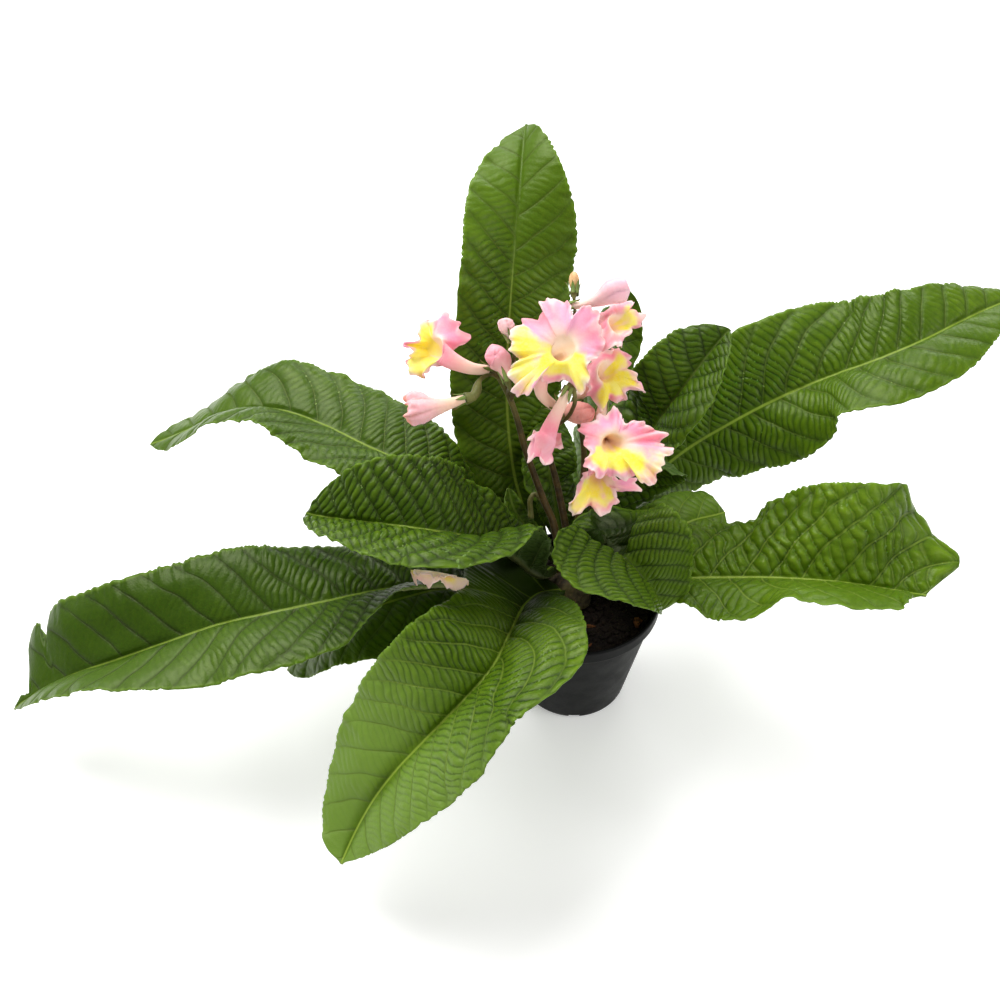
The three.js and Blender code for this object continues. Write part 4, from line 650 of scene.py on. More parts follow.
# name: quilting strength along the blade (left, right), seed, spacing of the side veins, colours
LOOK = {
    "leaf_back":         dict(ribfade=0.85, L=(0.5, 0.8, 1.0, 0.6, 0.25), R=(0.5, 0.9, 0.9, 0.5, 0.2), p=17, tone=0.5, lad=(1, 0.95, 0.9, 0.7, 0.5), fade=0.5, lime=0.22, warp=1.8),
    "leaf_upper_right":  dict(L=(0.9, 1.1, 1.15, 1.1, 0.8), R=(0.9, 1.1, 1.1, 0.8, 0.4), p=18, tone=0.42, lad=(1, 1, 0.75, 0.35, 0.2), fade=0.25, warp=1.7),
    "leaf_right_mid":    dict(L=(0.9, 1.0, 1.0, 0.9, 0.7), R=(0.9, 1.0, 1.0, 0.9, 0.7), p=12, p3=3.9, tone=0.15, vein_groove_shade=(0.9, 0.9), warp=1.7, ribs=0.25),
    "leaf_rear":         dict(L=(0.5, 0.6, 0.6, 0.5, 0.4), R=(0.5, 0.6, 0.6, 0.5, 0.4), p=13, tone=0.4),
    # dark adds painted shade over the whole blade: leaf_centre and leaf_curled sit deep in the crown
    "leaf_centre":       dict(L=(0.7, 0.8, 0.9, 0.8, 0.6), R=(0.7, 0.8, 0.9, 0.8, 0.6), p=9, p3=3.4, tone=0.2, ribs=0.35, dark=0.25),
    "leaf_behind_right": dict(L=(0.5, 0.6, 0.6, 0.6, 0.6), R=(0.5, 0.6, 0.6, 0.6, 0.6), p=13, tone=0.9, painted_sheen=0.55, vein_groove_shade=(0.0, 0.0), tooth=1.3),
    "leaf_lower_right":  dict(L=(1.0, 1.2, 1.3, 1.25, 1.1), R=(0.8, 0.7, 0.5, 0.4, 0.3), p=19, p3=7.0, tone=0.8, crisp=0.2, crease=0.42, pinch=1, cell=0.62, gloss=0.33, poke=8.0, deep=0.6, vein_groove_shade=(0.0, 0.0),
                              trimL=[(0, 0), (0.36, 0), (0.41, -3.0), (0.452, -6.5), (0.462, 1.0), (0.50, 0), (0.80, 0), (0.862, 4.5), (0.885, 0), (1, 0)],
                              trimR=[(0, 0), (0.58, 0), (0.62, -1.5), (0.66, 0), (0.70, 1.5), (0.735, 6.0), (0.765, 2.5), (0.78, 3.0), (0.81, 0.5), (0.86, 2.0), (0.885, 0), (1, 0)]),
    "leaf_front_small":  dict(L=(0.9, 1.0, 1.0, 0.9, 0.7), R=(0.9, 1.0, 1.0, 0.9, 0.7), p=11, p3=2.4, p4=6.0, tone=0.45, hollow=1, lime=0.1, vein_groove_shade=(0.95, 0.95), warp=1.6, ribs=0.1, tooth=1.25,
                              trimL=[(0, 0), (0.88, 0), (0.95, 2.0), (0.975, 4.0), (0.99, 6.0), (1, 6.0)], fine=0.66, crease=0.18,
                              trimR=[(0, 0), (0.21, 0), (0.26, -9), (0.30, -17), (0.345, -15), (0.38, -6), (0.42, 0), (0.84, 0), (0.90, -1.5), (0.95, -3.5), (0.97, -4.5), (0.985, -3), (1, -1)]),
    # leaf_inner is painted as shade all over, with dark top and underside, dark midrib and little reflection: a dark
    # blade standing in for the shade down in the hollow
    "leaf_inner":        dict(dark=1.0, ribs=0.0, spec=0.06, L=(0.7, 0.8, 0.8, 0.8, 0.6), R=(0.7, 0.8, 0.8, 0.8, 0.6), p=7, tone=0.2),
    "leaf_front":        dict(L=(0.9, 1.15, 0.9, 0.45, 0.15), R=(0.8, 1.0, 0.6, 0.28, 0.12), p=17, p3=4.0, tone=0.62, painted_sheen=0.85, deep=0.9, vein_groove_shade=(0.1, 0.55), trimL=[(0, 0), (0.31, 0), (0.345, -3.5), (0.37, 0), (1, 0)],
                              trimR=[(0, 0), (0.03, 12), (0.06, 34), (0.095, 36), (0.13, 21), (0.17, 6), (0.21, 1), (0.31, 0), (1, 0)]),
    "leaf_under_left":   dict(L=(0.5, 0.6, 0.6, 0.4, 0.3), R=(0.5, 0.6, 0.6, 0.4, 0.3), p=16, tone=0.4),
    "leaf_lower_left":   dict(L=(0.9, 0.95, 0.7, 0.5, 0.35), R=(1.0, 0.9, 0.5, 0.3, 0.2), p=20, p3=4.6, tone=0.0, lime=0.05, lad=(1, 1, 0.65, 0.3, 0.2), warp=1.7, painted_sheen_L=0.25, deep=0.6, vein_groove_shade=(0.8, 0.85),
                              trimR=[(0, 0), (0.84, 0), (0.88, 1.5), (0.902, 0), (0.909, -4), (0.915, -14), (0.921, -3), (0.93, 1.5), (0.942, 4.0), (0.951, 3.0),
                                     (0.957, -9), (0.963, -17), (0.97, -10), (0.98, -5), (0.99, -2), (1, 0)]),
    "leaf_left_mid":     dict(L=(1.1, 1.2, 1.2, 1.1, 0.9), R=(1.1, 1.2, 1.2, 1.1, 0.9), p=13, tone=0.15, vein_groove_shade=(0.8, 0.8), warp=1.6),
    "leaf_upper_left":   dict(L=(1.1, 1.1, 1.1, 0.9, 0.5), R=(1.1, 1.1, 1.0, 0.7, 0.4), p=18, tone=0.12, lad=(1, 0.9, 0.45, 0.25, 0.15), fade=0.2, lime=0.16, warp=1.7),
    "leaf_curled":       dict(L=(0.7, 0.8, 0.8, 0.8, 0.6), R=(0.7, 0.8, 0.8, 0.8, 0.6), p=7, p3=3.0, tone=0.3, ribs=0.3, dark=0.3, tooth=1.2),
}

def leaf_surface(rows, t, x):
    """Points on the blade: t along it (n,), x across it from -1 (right) to 1 (left) (m,)."""
    col = lambda k, flat=False: curve(TT, [r[k] for r in rows], flat)
    px, py, pz = col(0), col(1), col(2)
    wl, wr, al, ar = col(3, True), col(4, True), col(5, True), col(6, True)
    P = np.stack([px(t), py(t), pz(t)], -1)
    t0, t1 = np.maximum(0, t - 0.01), np.minimum(1, t + 0.01)
    T = unit(np.stack([px(t1) - px(t0), py(t1) - py(t0), pz(t1) - pz(t0)], -1))
    H = unit(np.cross(np.array([0, 0, 1.0]), T)); Nn = np.cross(T, H)
    side = np.where(x >= 0, 1.0, -1.0)[None, :]
    v = np.abs(x)[None, :]
    end = np.sqrt(np.clip(1 - (np.clip((t - 0.975) / 0.025, 0, 1)) ** 2, 0.02, 1))
    W = np.where(side > 0, (wl(t) * end)[:, None], (wr(t) * end)[:, None])
    a = np.radians(np.where(side > 0, al(t)[:, None], ar(t)[:, None]))
    c = (np.sin(a + CUP * v) - np.sin(a)) / CUP
    s = (np.cos(a) - np.cos(a + CUP * v)) / CUP
    return P, T, H, Nn, W, c, s, side, v

def build_leaf(name, q=0.88, qa=1.4):
    rows = LEAVES[name]; look = LOOK[name]
    seed = 11 + list(LEAVES).index(name) * 7
    dense = np.linspace(0, 1, 1501)
    Pd = leaf_surface(rows, dense, np.array([0.0]))[0]
    sd = np.concatenate([[0], np.cumsum(np.linalg.norm(np.diff(Pd, axis=0), axis=1))])
    L = sd[-1]
    nr = int(L / q / 2) * 2 + 1
    t = np.interp(np.linspace(0, L, nr), sd, dense)
    s = np.linspace(0, L, nr)[:, None]
    wmax = max(max(r[3] for r in rows), max(r[4] for r in rows))
    nc = int(wmax / qa / 2) * 2
    xx = np.linspace(-1, 1, 2 * nc + 1)
    x = np.sign(xx) * np.abs(xx) * (0.82 + 0.18 * np.abs(xx))
    P, T, H, Nn, W, c, sn, side, v = leaf_surface(rows, t, x)
    tt = t[:, None]
    a = v * W                                     # distance from the midrib
    wloc = np.maximum(W, 1)
    # scalloped margin
    lam = 4.9 + 0.9 * noise2(s / 40, side * 3, seed + 1)
    sc = np.abs(np.sin(math.pi * (s / lam + 0.3 * noise2(s / 9, side * 9 + 2, seed + 2)))) ** 0.6
    tooth = (1.45 * look.get("tooth", 1)) * smooth(0.08, 0.2, tt) * np.clip(W / 18, 0, 1)
    trim = np.where(side > 0, np.interp(tt, *zip(*look.get("trimL", [(0, 0), (1, 0)]))), np.interp(tt, *zip(*look.get("trimR", [(0, 0), (1, 0)]))))
    cut = smooth(-4, -9, trim)                    # a deep cut narrows the whole half, a shallow one only its margin
    Wt = W + trim * (v ** 3 * (1 - cut) + cut) - tooth * (1 - sc) * smooth(0.6, 1.0, v) - look.get("ragged", 0) * smooth(0.8, 0.93, tt) * smooth(0.5, 1, v) * (0.5 + 0.5 * np.sign(noise2(s / 7, side, seed + 20)) * np.abs(noise2(s / 7, side, seed + 20)) ** 0.5) * (1 - smooth(0.965, 1, tt))
    Wt = np.maximum(Wt, 0.5)
    # side veins and the ladder between them
    p = look["p"]
    sw = s + 2.4 * noise2(s / 30 + 5, side * 4, seed + 3)
    f = 0.58 * a + a * a / (2 * 95.0 * wmax / 42)
    fp = 0.58 + a / (95.0 * wmax / 42)
    U = (sw - f) / p + np.where(side > 0, 0.0, 0.43) + 0.06 * noise2(s / 12, a / 12 + 40 * side, seed + 4)
    k = np.floor(U); fr = U - k
    xv = np.minimum(fr, 1 - fr) * p / np.sqrt(1 + fp * fp)
    main = np.exp(-(xv / 0.95) ** 2)
    pillow1 = np.abs(np.sin(math.pi * fr)) ** 0.7
    p3 = look.get("p3", 4.3)
    tl = (s + 0.45 * a + 0.25 * np.sin(2 * math.pi * fr)) / p3 + hashed(k + 40, side + 1, seed + 6) + look.get("warp", 1.45) * (0.34 * noise2(s / 19, a / 13 + 30 * side, seed + 7) + 0.13 * noise2(s / 5, a / 6 + 30 * side, seed + 17))
    kt = np.floor(tl); ft = tl - kt
    xt = np.minimum(ft, 1 - ft) * p3
    rung = np.exp(-(xt / 0.7) ** 2) * smooth(0, 1.2, xv)
    pillow2 = np.abs(np.sin(math.pi * ft)) ** 0.62
    p4 = look.get("p4", 9.0)
    cr = a / p4 + hashed(kt + 90, k + 11, seed + 8) * 3 + 0.35 * noise2(s / 7, a / 7, seed + 9)
    fc = cr - np.floor(cr)
    pillow3 = np.abs(np.sin(math.pi * fc)) ** 0.6
    amp = np.where(side > 0, np.interp(tt, (0.12, 0.35, 0.55, 0.78, 0.97), look["L"]), np.interp(tt, (0.12, 0.35, 0.55, 0.78, 0.97), look["R"]))
    amp = amp * smooth(0.05, 0.16, tt)
    amp = amp * (1 + 0.25 * noise2(s / 26, a / 20 + 60 * side, seed + 10))
    edge = 1 - 0.35 * smooth(0.8, 1.0, v)
    lad = np.interp(tt, (0.12, 0.35, 0.55, 0.78, 0.97), look.get("lad", (1, 1, 1, 1, 1))) * (1 - look.get("fade", 0) * smooth(0.4, 0.95, v))
    near = smooth(0.4, 3.5, a)
    amp = amp * (0.72 + 0.5 * hashed(kt + 31, k + 7, seed + 18) * np.abs(np.sin(math.pi * ft)))
    relief = amp * edge * near * ((0.85 + 0.35 * (1 - lad)) * (pillow1 - 0.6) + lad * (0.72 + 0.085 * p3) * pillow1 ** 0.5 * (pillow2 - 0.6) + lad * look.get("cell", 0.42) * pillow2 * (pillow3 - 0.6)) * 1.18
    relief -= (0.25 + 0.45 * amp) * (main * (1 - 0.5 * v)) * near
    relief += 1.3 * noise2(s / 25, a / 17 + 70 * side, seed + 23) * smooth(0.12, 0.3, tt) * near * np.clip(W / 25, 0, 1)
    relief += 0.16 * noise2(s / 2.6, a / 2.6 + 20 * side, seed + 12) * amp
    midw = 1.5 * (1 - 0.55 * tt) + 0.4
    groove = np.exp(-(a / midw) ** 2)
    ridge = np.exp(-(a / (midw * 0.62)) ** 2)
    relief += -1.0 * groove * smooth(0.04, 0.15, tt) * (1 - 0.5 * tt) + 1.0 * ridge * (1 - 0.45 * tt)
    wave = 1.7 * v ** 3 * noise2(s / 13, side * 6, seed + 13) + 1.2 * v ** 4 * noise2(s / 4.5, side * 8, seed + 14)
    wave = wave * smooth(0.1, 0.25, tt) * np.clip(W / 22, 0, 1)
    pts = (P[:, None, :] + H[:, None, :] * (side * c * Wt)[..., None] + Nn[:, None, :] * (sn * Wt)[..., None])
    if look.get("poke"):                          # the cut end runs out to a corner on its left half
        pts = pts + T[:, None, :] * (look["poke"] * smooth(0.86, 0.975, tt) * np.exp(-((a - 29.0) / 15.0) ** 2) * (side > 0))[..., None]
        pts = pts - T[:, None, :] * (8.5 * smooth(0.78, 1.0, tt) * np.clip(1 - a / np.where(side > 0, 27.0, 60.0), 0, 1))[..., None]
    nrm = grid_normals(pts)
    flip = np.sign((nrm * Nn[:, None, :]).sum(-1, keepdims=True).mean())
    nrm = nrm * flip
    sink = 0
    if look.get("hollow"):                        # the blade funnels down to its stalk between two raised lobes
        reach = np.where(side > 0, 3 + 23 * smooth(0.64, 0.42, tt), 2.5 + 20 * smooth(0.58, 0.38, tt))
        sink = 9.0 * smooth(0.64, 0.52, tt) * smooth(0.28, 0.36, tt) * np.clip(1 - (a / reach) ** 2, 0, 1) ** 0.8
    top = pts + nrm * (relief + wave - sink)[..., None]
    thick = 0.55 + 2.2 * (1 - smooth(0.03, 0.17, tt)) + 0.25 * (1 - smooth(0, 0.5, tt))
    rib = 2.6 * (1 - 0.75 * tt) * np.exp(-(a / (midw * 1.05)) ** 2)
    under = top - nrm * (thick * (1 - 0.45 * smooth(0.93, 1, v)) + rib + amp * (0.55 * main + 0.22 * rung))[..., None]
    # masks
    z = np.zeros_like(relief)

    vein = np.clip(main * (1 - 0.55 * v) * smooth(0.08, 0.2, tt) + 0.20 * rung * amp * edge, 0, 1)
    # height of the quilting from valley to crest: it drives the painted shade in the valleys and the painted sheen on
    # the crests
    hgt = np.clip(0.45 + 0.55 * (pillow1 ** 0.5 * (1 - lad + lad * pillow2) - 0.5) * np.clip(amp, 0, 1.2) - 0.35 * main + 0.1, 0, 1)
    # margin band partly painted back-light, partly own colour; tip lime is own colour
    limb = np.clip(smooth(0.93, 1.0, v) * 0.55 + look.get("lime", 0) * smooth(0.55, 1.0, tt), 0, 1) + z
    # painted shade: blades darkened towards their stalks down in the crown (deep), over whole blades tucked into the
    # crown (dark) and down in the hollow (sink)
    shade = np.clip(look.get("deep", 0.8) * (1 - smooth(0.04, 0.40, tt)) + look.get("dark", 0) + np.asarray(sink) / 4.5, 0, 1) + z
    # painted sheen on the outer half of some blades, away from the midrib
    painted_sheen = np.where(side > 0, look.get("painted_sheen_L", look.get("painted_sheen", 0)), look.get("paleR", look.get("painted_sheen", 0))) * smooth(0.35, 0.62, tt) * smooth(0.0, 0.25, v) + z
    hgt = np.clip(hgt + 0.30 * amp * pillow2 * (pillow3 - 0.7), 0, 1)
    # the pale midrib is dimmed down in the hollow, as part of its painted shade
    m1 = np.stack([vein, ridge * (1 - 0.9 * np.clip(np.asarray(sink) / 4.0, 0, 1)) * (1 - look.get("ribfade", 0) * smooth(0.50, 0.86, tt)) + z, hgt, z + 1], -1)
    m3 = np.stack([U + 50, tl + 50, amp * lad * edge * near + z, painted_sheen], -1)
    m2 = np.stack([tt + z, v + z, limb, shade], -1)
    m1u = np.stack([np.clip(main * 0.9 + 0.5 * rung, 0, 1), np.exp(-(a / (midw * 1.1)) ** 2) + z, hgt, z], -1)
    V, q1, q2, tri, A = shell_open(top, under, {"m1": m1, "m2": m2, "m3": m3}, {"m1": m1u, "m2": m2, "m3": m3})
    faces = outward(V, [q1, q2, tri])
    tone = look["tone"]
    mixc = lambda a, b: tuple(a[i] * (1 - tone) + b[i] * tone for i in range(3))
    mat = leaf_material("mat_" + name, mixc(lin(15, 32, 2), lin(38, 66, 3)), mixc(lin(44, 70, 3), lin(76, 106, 8)),
                        mixc(lin(72, 98, 12), lin(106, 136, 26)), tuple(look.get("ribs", 1.0) * r + (1 - look.get("ribs", 1.0)) * d for r, d in zip(mixc(lin(108, 130, 40), lin(136, 160, 58)), mixc(lin(26, 46, 3), lin(52, 80, 6)))), crisp=look.get("crisp", 0.30), vein_groove_shade=look.get("vein_groove_shade", (0.5, 0.5)), crease_shade=look.get("crease", 0.30), spec=look.get("spec", 0.28), pinch=look.get("pinch", 0), gloss=look.get("gloss", 0.34))
    return make_mesh(name + "_blade", V, faces, A, mat=mat, replaces=name, slot="leaf")

tris = 0
for name in LEAVES:
    k = LOOK[name].get("fine", 1.0)
    ob = build_leaf(name, *(((0.88 * k, 1.4 * (1 + k) / 2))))
    tris += sum(len(p.vertices) - 2 for p in ob.data.polygons)
print("leaf triangles", tris)

# ------------------------------------------------------------------ swept shapes
def spline(points):
    P = np.asarray(points, float)
    s = np.concatenate([[0], np.cumsum(np.linalg.norm(np.diff(P, axis=0), axis=1))])
    f = [curve(s, P[:, k]) for k in range(3)]
    return s[-1], lambda u: np.stack([g(np.asarray(u) * s[-1]) for g in f], -1)

def sweep_frames(points, u, end_normal=None):
    L, at = spline(points)
    P = at(u)
    T = unit(at(np.minimum(1, u + 0.005)) - at(np.maximum(0, u - 0.005)))
    n = np.array(end_normal if end_normal is not None else (0, 1, 0.1), float)
    Nn = np.zeros_like(P)
    for i in range(len(u) - 1, -1, -1):
        n = n - T[i] * (n @ T[i]); n = n / np.linalg.norm(n)
        Nn[i] = n
    return L, P, T, Nn, np.cross(T, Nn)

def tube(points, u, radius, sides=14, shape=None, end_normal=None):
    """Closed swept tube. radius: (n,); shape(i, angle) multiplies it."""
    L, P, T, Nn, B = sweep_frames(points, u, end_normal)
    a = np.arange(sides) / sides * 2 * math.pi
    r = np.asarray(radius)[:, None] * (np.ones((len(u), sides)) if shape is None else shape(u[:, None], a[None, :]))
    ring = P[:, None] + Nn[:, None] * (r * np.cos(a))[..., None] + B[:, None] * (r * np.sin(a))[..., None]
    n = len(u)
    V = np.concatenate([ring.reshape(-1, 3), P[:1], P[-1:]])
    I = np.arange(n * sides).reshape(n, sides); J = np.roll(I, -1, axis=1)
    q = np.stack([I[:-1], J[:-1], J[1:], I[1:]], -1).reshape(-1, 4)
    t0 = np.stack([np.full(sides, n * sides), J[0], I[0]], -1)
    t1 = np.stack([np.full(sides, n * sides + 1), I[-1], J[-1]], -1)
    faces = outward(V, [q, t0, t1])
    uu = np.concatenate([np.repeat(u, sides), [u[0], u[-1]]])
    aa = np.concatenate([np.tile(a / (2 * math.pi), n), [0, 0]])
    return V, faces, uu, aa, L

# ------------------------------------------------------------------ corollas
def petal_material(name):
    """c1 = (yellow, along, edge, inside); c2 = (lilac, salmon, throat, ruffle height for painted shade and highlight).
    """
    N = Nodes(name)
    yel, u, edge, inside = N.attr("c1")
    lilac, salmon, throat, rnd = N.attr("c2")
    big = N.noise(90, 2, 0.5)
    fine = N.noise(700, 3, 0.6)
    streak = N.noise(260, 2, 0.5)
    pink = N.mix(N.ramp(big, 0.35, 0.7), lin(255, 138, 166), lin(255, 170, 188))
    pink = N.mix(N.mul(lilac, 0.9), pink, lin(238, 176, 214))
    pink = N.mix(N.mul(salmon, 0.85), pink, lin(248, 168, 140))
    cream = lin(255, 226, 196)
    c = N.mix(N.ramp(u, 0.15, 0.95), lin(250, 212, 186), pink)
    inner = N.mix(N.mul(N.ramp(u, 1.0, 1.55, 1.0, 0.0), 0.75), pink, cream)
    y = N.add(yel, N.mul(N.math("SUBTRACT", streak, 0.5), 0.45))
    yc = N.mix(N.ramp(big, 0.3, 0.7), lin(255, 232, 52), lin(255, 242, 112))
    inner = N.mix(N.mul(N.ramp(y, 0.10, 0.5), 0.8), inner, lin(255, 222, 150))
    inner = N.mix(N.ramp(y, 0.34, 0.78), inner, yc)
    inner = N.mix(N.mul(edge, 0.75), inner, N.mix(N.ramp(yel, 0.2, 0.7), lin(255, 212, 208), lin(255, 228, 192)))
    inner = N.mix(N.mul(N.mul(N.ramp(throat, 0.0, 0.55), 0.9), N.ramp(yel, 0.1, 0.7, 1.0, 0.15)), inner, lin(255, 222, 196))
    # deeper in the throat the colour turns tan and then brown: painted shade down the tube
    inner = N.mix(N.ramp(throat, 0.50, 0.86, 0.0, 0.8), inner, lin(252, 208, 168))
    inner = N.mix(N.ramp(throat, 0.86, 1.0, 0.0, 0.8), inner, lin(176, 112, 48))
    outer = N.mix(N.mul(N.ramp(y, 0.4, 0.8), 0.55), c, lin(255, 226, 176))
    outer = N.mix(N.mul(edge, 0.5), outer, lin(255, 224, 214))
    c = N.mix(inside, outer, inner)
    c = N.mix(N.mul(N.ramp(fine, 0.35, 0.75), 0.10), c, lin(255, 240, 235))
    # painted shade: the ruffle valleys darkened to deeper pink or gold
    c = N.mix(N.ramp(rnd, 0.05, 0.5, 0.55, 0.0), c, N.mix(N.ramp(yel, 0.3, 0.6), lin(228, 112, 138), lin(232, 176, 60)))
    # painted highlight: the ruffle crests paled
    c = N.mix(N.ramp(rnd, 0.6, 0.95, 0.0, 0.35), c, lin(255, 236, 224))
    b = N.bump(fine, 0.25, 0.0003)
    b = N.bump(streak, 0.3, 0.0006, b)
    N.set(Base_Color=c, Roughness=0.62, Normal=b, Specular_IOR_Level=0.3)
    N.bsdf.inputs["Subsurface Weight"].default_value = 0.15
    N.bsdf.inputs["Subsurface Radius"].default_value = (1.0, 0.7, 0.55)
    N.bsdf.inputs["Subsurface Scale"].default_value = 0.003
    N.bsdf.inputs["Sheen Weight"].default_value = 0.15
    N.bsdf.inputs["Sheen Roughness"].default_value = 0.5
    return N.mat

PETAL = petal_material("mat_petal")

# where the yellow runs out of the throat, as angles in the upright plane facing the front (0 right, 90 up)
SECTOR = {"corolla_main": (148, 348), "corolla_left": (95, 296), "corolla_right": (-115, 68), "corolla_top_right": (-25, 75),
          "corolla_low_right": (190, 350), "corolla_lowest": (165, 335), "corolla_drooping": (0, 0)}
# the side of each throat where its painted shade reaches furthest, as an angle in the same plane as SECTOR
THROAT_SHADOW_SIDE = {"corolla_main": -15.0, "corolla_low_right": 165.0, "corolla_right": 190.0}
TINT = {"corolla_main": (0.45, 0.0), "corolla_left": (0.25, 0.15), "corolla_right": (0.2, 0.15), "corolla_top_right": (0.3, 0.25),
        "corolla_low_right": (0.25, 0.05), "corolla_lowest": (0.2, 0.25), "corolla_drooping": (0.2, 0.3)}

def build_corolla(name):
    c = COROLLAS[name]; seed = 300 + list(COROLLAS).index(name) * 9
    M = np.array(c["mouth"]); A = unit(np.array(c["axis"]))
    E = np.array([p[:3] for p in c["edge"]], float); Y = np.array([p[3] for p in c["edge"]], float)
    n = len(E)
    e1 = E[0] - M; e1 = unit(e1 - A * (e1 @ A)); e2 = np.cross(A, e1)
    ang = np.arctan2((E - M) @ e2, (E - M) @ e1)
    th = [0.0]
    for i in range(1, n + 1):
        d = ang[i % n] - ang[i - 1]
        while d > math.pi: d -= 2 * math.pi
        while d < -math.pi: d += 2 * math.pi
        th.append(th[-1] + max(0.02, d))
    th = np.array(th) * 2 * math.pi / th[-1]
    # closed smooth margin
    seg = np.linalg.norm(np.roll(E, -1, axis=0) - E, axis=1)
    par = np.concatenate([[0], np.cumsum(seg ** 0.5)])
    ext = lambda v: np.concatenate([v[-3:], v, v[:4]])
    pext = np.concatenate([par[-4:-1] - par[-1], par[:-1], par[-1] + par[:4]])
    fx = [curve(pext, ext(E[:, k])) for k in range(3)]
    length = seg.sum()
    na = int(min(220, max(96, length / 0.8)) / 2) * 2
    dense = np.linspace(0, par[-1], 4001)
    D = np.stack([g(dense) for g in fx], -1)
    sl = np.concatenate([[0], np.cumsum(np.linalg.norm(np.diff(D, axis=0), axis=1))])
    pp = np.interp(np.arange(na) / na * sl[-1], sl, dense)
    B = np.stack([g(pp) for g in fx], -1)
    arc = np.arange(na) / na * sl[-1]
    ths = np.interp(pp, par, th)
    w = np.ones(9) / 9
    ths = ths + 0
    Yb = np.interp(pp, par, np.concatenate([Y, Y[:1]]))
    # tube
    nu = 16
    u = np.linspace(0, 1, nu)
    L, P, T, Nn, Bn = sweep_frames(list(c["tube"]) + [c["mouth"]], u, e1)
    r = c["r0"] + (c["rm"] - c["r0"]) * u ** 1.7
    wgt = (u ** 2)[:, None]
    N1 = unit(Nn * (1 - wgt) + e1 * wgt); B1 = unit(Bn * (1 - wgt) + e2 * wgt)
    tubeg = P[:, None] + N1[:, None] * (r[:, None] * np.cos(ths))[..., None] + B1[:, None] * (r[:, None] * np.sin(ths))[..., None]
    p0 = tubeg[-1]
    Lb = np.linalg.norm(B - p0, axis=1, keepdims=True)
    rad = unit(p0 - M)
    out = B - M; out = unit(out - A * (out @ A)[:, None])
    p1 = p0 + 0.24 * Lb * A + 0.20 * Lb * rad
    p2 = B - 0.32 * Lb * out + 0.10 * Lb * A
    ns = 34
    S = np.linspace(0, 1, ns + 1)[1:]
    S = S ** 0.9
    lobes = 0.5 + 0.5 * noise2(arc / 11, seed * 0.7, seed + 1)
    limb, ruffle = [], []
    for sv in S:
        q = 1 - sv
        ring = p0 * q**3 + p1 * 3 * q * q * sv + p2 * 3 * q * sv * sv + B * sv**3
        # ruffles grow towards the margin; folds run out from the mouth
        ruf = 3.7 * noise2(arc / 5.2, 3.0 + sv * 1.2, seed + 2) * sv**3 + 1.7 * noise2(arc / 2.2, 9.0 + sv, seed + 3) * sv**5
        ruffle.append(ruf)
        fold = 1.3 * np.sin(math.pi * sv) ** 1.0 * noise2(ths * 1.9, 5.0 + sv * 0.6, seed + 4)
        lip = -2.4 * smooth(0.80, 1.0, sv) * (0.55 + 1.3 * noise2(arc / 4.4, 1.5, seed + 9))
        shift = 1.3 * noise2(arc / 2.3, sv, seed + 5) * sv**5
        limb.append(ring + A * (ruf + fold + lip)[:, None] + out * shift[:, None])
    G = np.concatenate([tubeg, np.array(limb)])
    nrm = grid_normals(G, ring=True)
    # inside faces along +A at the limb
    sgn = np.sign((nrm[-8:] * A).sum()); nrm = nrm * sgn
    h = np.full(len(G), 0.28); h[-1] = 0.14
    inner = G + nrm * h[:, None, None]; outer = G - nrm * h[:, None, None]
    # the throat closes to a small hole a little way down the tube
    pinch = 0.85 * smooth(1.0, 0.70, u) * (1 - smooth(0.50, 0.25, u))
    ang2 = 1 + 0.12 * np.cos(2 * ths)[None, :]
    inner[:nu] += (P[:, None] - inner[:nu]) * (pinch[:, None] * ang2)[..., None]
    R, C = G.shape[:2]
    V = np.concatenate([inner.reshape(-1, 3), outer.reshape(-1, 3)])
    I = np.arange(R * C).reshape(R, C); J = np.roll(I, -1, axis=1)
    O = I + R * C; Q = J + R * C
    quads = np.concatenate([
        np.stack([I[:-1], J[:-1], J[1:], I[1:]], -1).reshape(-1, 4),
        np.stack([O[:-1], O[1:], Q[1:], Q[:-1]], -1).reshape(-1, 4),
        np.stack([I[-1], J[-1], Q[-1], O[-1]], -1),
        np.stack([I[0], O[0], Q[0], J[0]], -1)])
    faces = outward(V, [quads])
    ug = np.concatenate([u, 1 + S])[:, None] + np.zeros((R, C))
    dist = np.concatenate([np.full(nu, 99.0)[:, None] + np.zeros((nu, C)), (1 - S)[:, None] * Lb[:, 0][None, :]])
    edge = 1 - smooth(0.5, 3.4, dist + 0.8 * noise2(arc / 3.0, 1.0, seed + 6)[None, :])
    dB = B - M; scr = np.degrees(np.arctan2(dB[:, 1] * 0.693 + dB[:, 2] * 0.721, dB[:, 0]))
    lo_a, hi_a = SECTOR[name]; half = (hi_a - lo_a) / 2
    off = np.abs((scr - (lo_a + hi_a) / 2 + 180) % 360 - 180)
    Ys = (1 - smooth(half - 26, half + 14, off + 9 * noise2(ths * 3, 4.0, seed + 16))) * (half > 0)
    far = smooth(1.42, 1.86, ug)
    drift = np.clip(0.90 + 0.50 * noise2(np.cos(ths) * 2.2 + 5, np.sin(ths) * 2.2 + 3 * ug, seed + 21), 0.38, 1.12)
    yg = drift * (Ys[None, :] * (1 - far) + Yb[None, :] * far) * smooth(0.72, 0.95, ug) * (1 - 0.35 * smooth(1.85, 2.0, ug))
    lil = np.clip(TINT[name][0] + 0.5 * noise2(ths * 1.3, 2.0, seed + 7), 0, 1)[None, :] * smooth(0.6, 1.5, ug)
    sal = np.clip(TINT[name][1] + 0.3 * noise2(arc / 7, ug * 2, seed + 15), 0, 1)
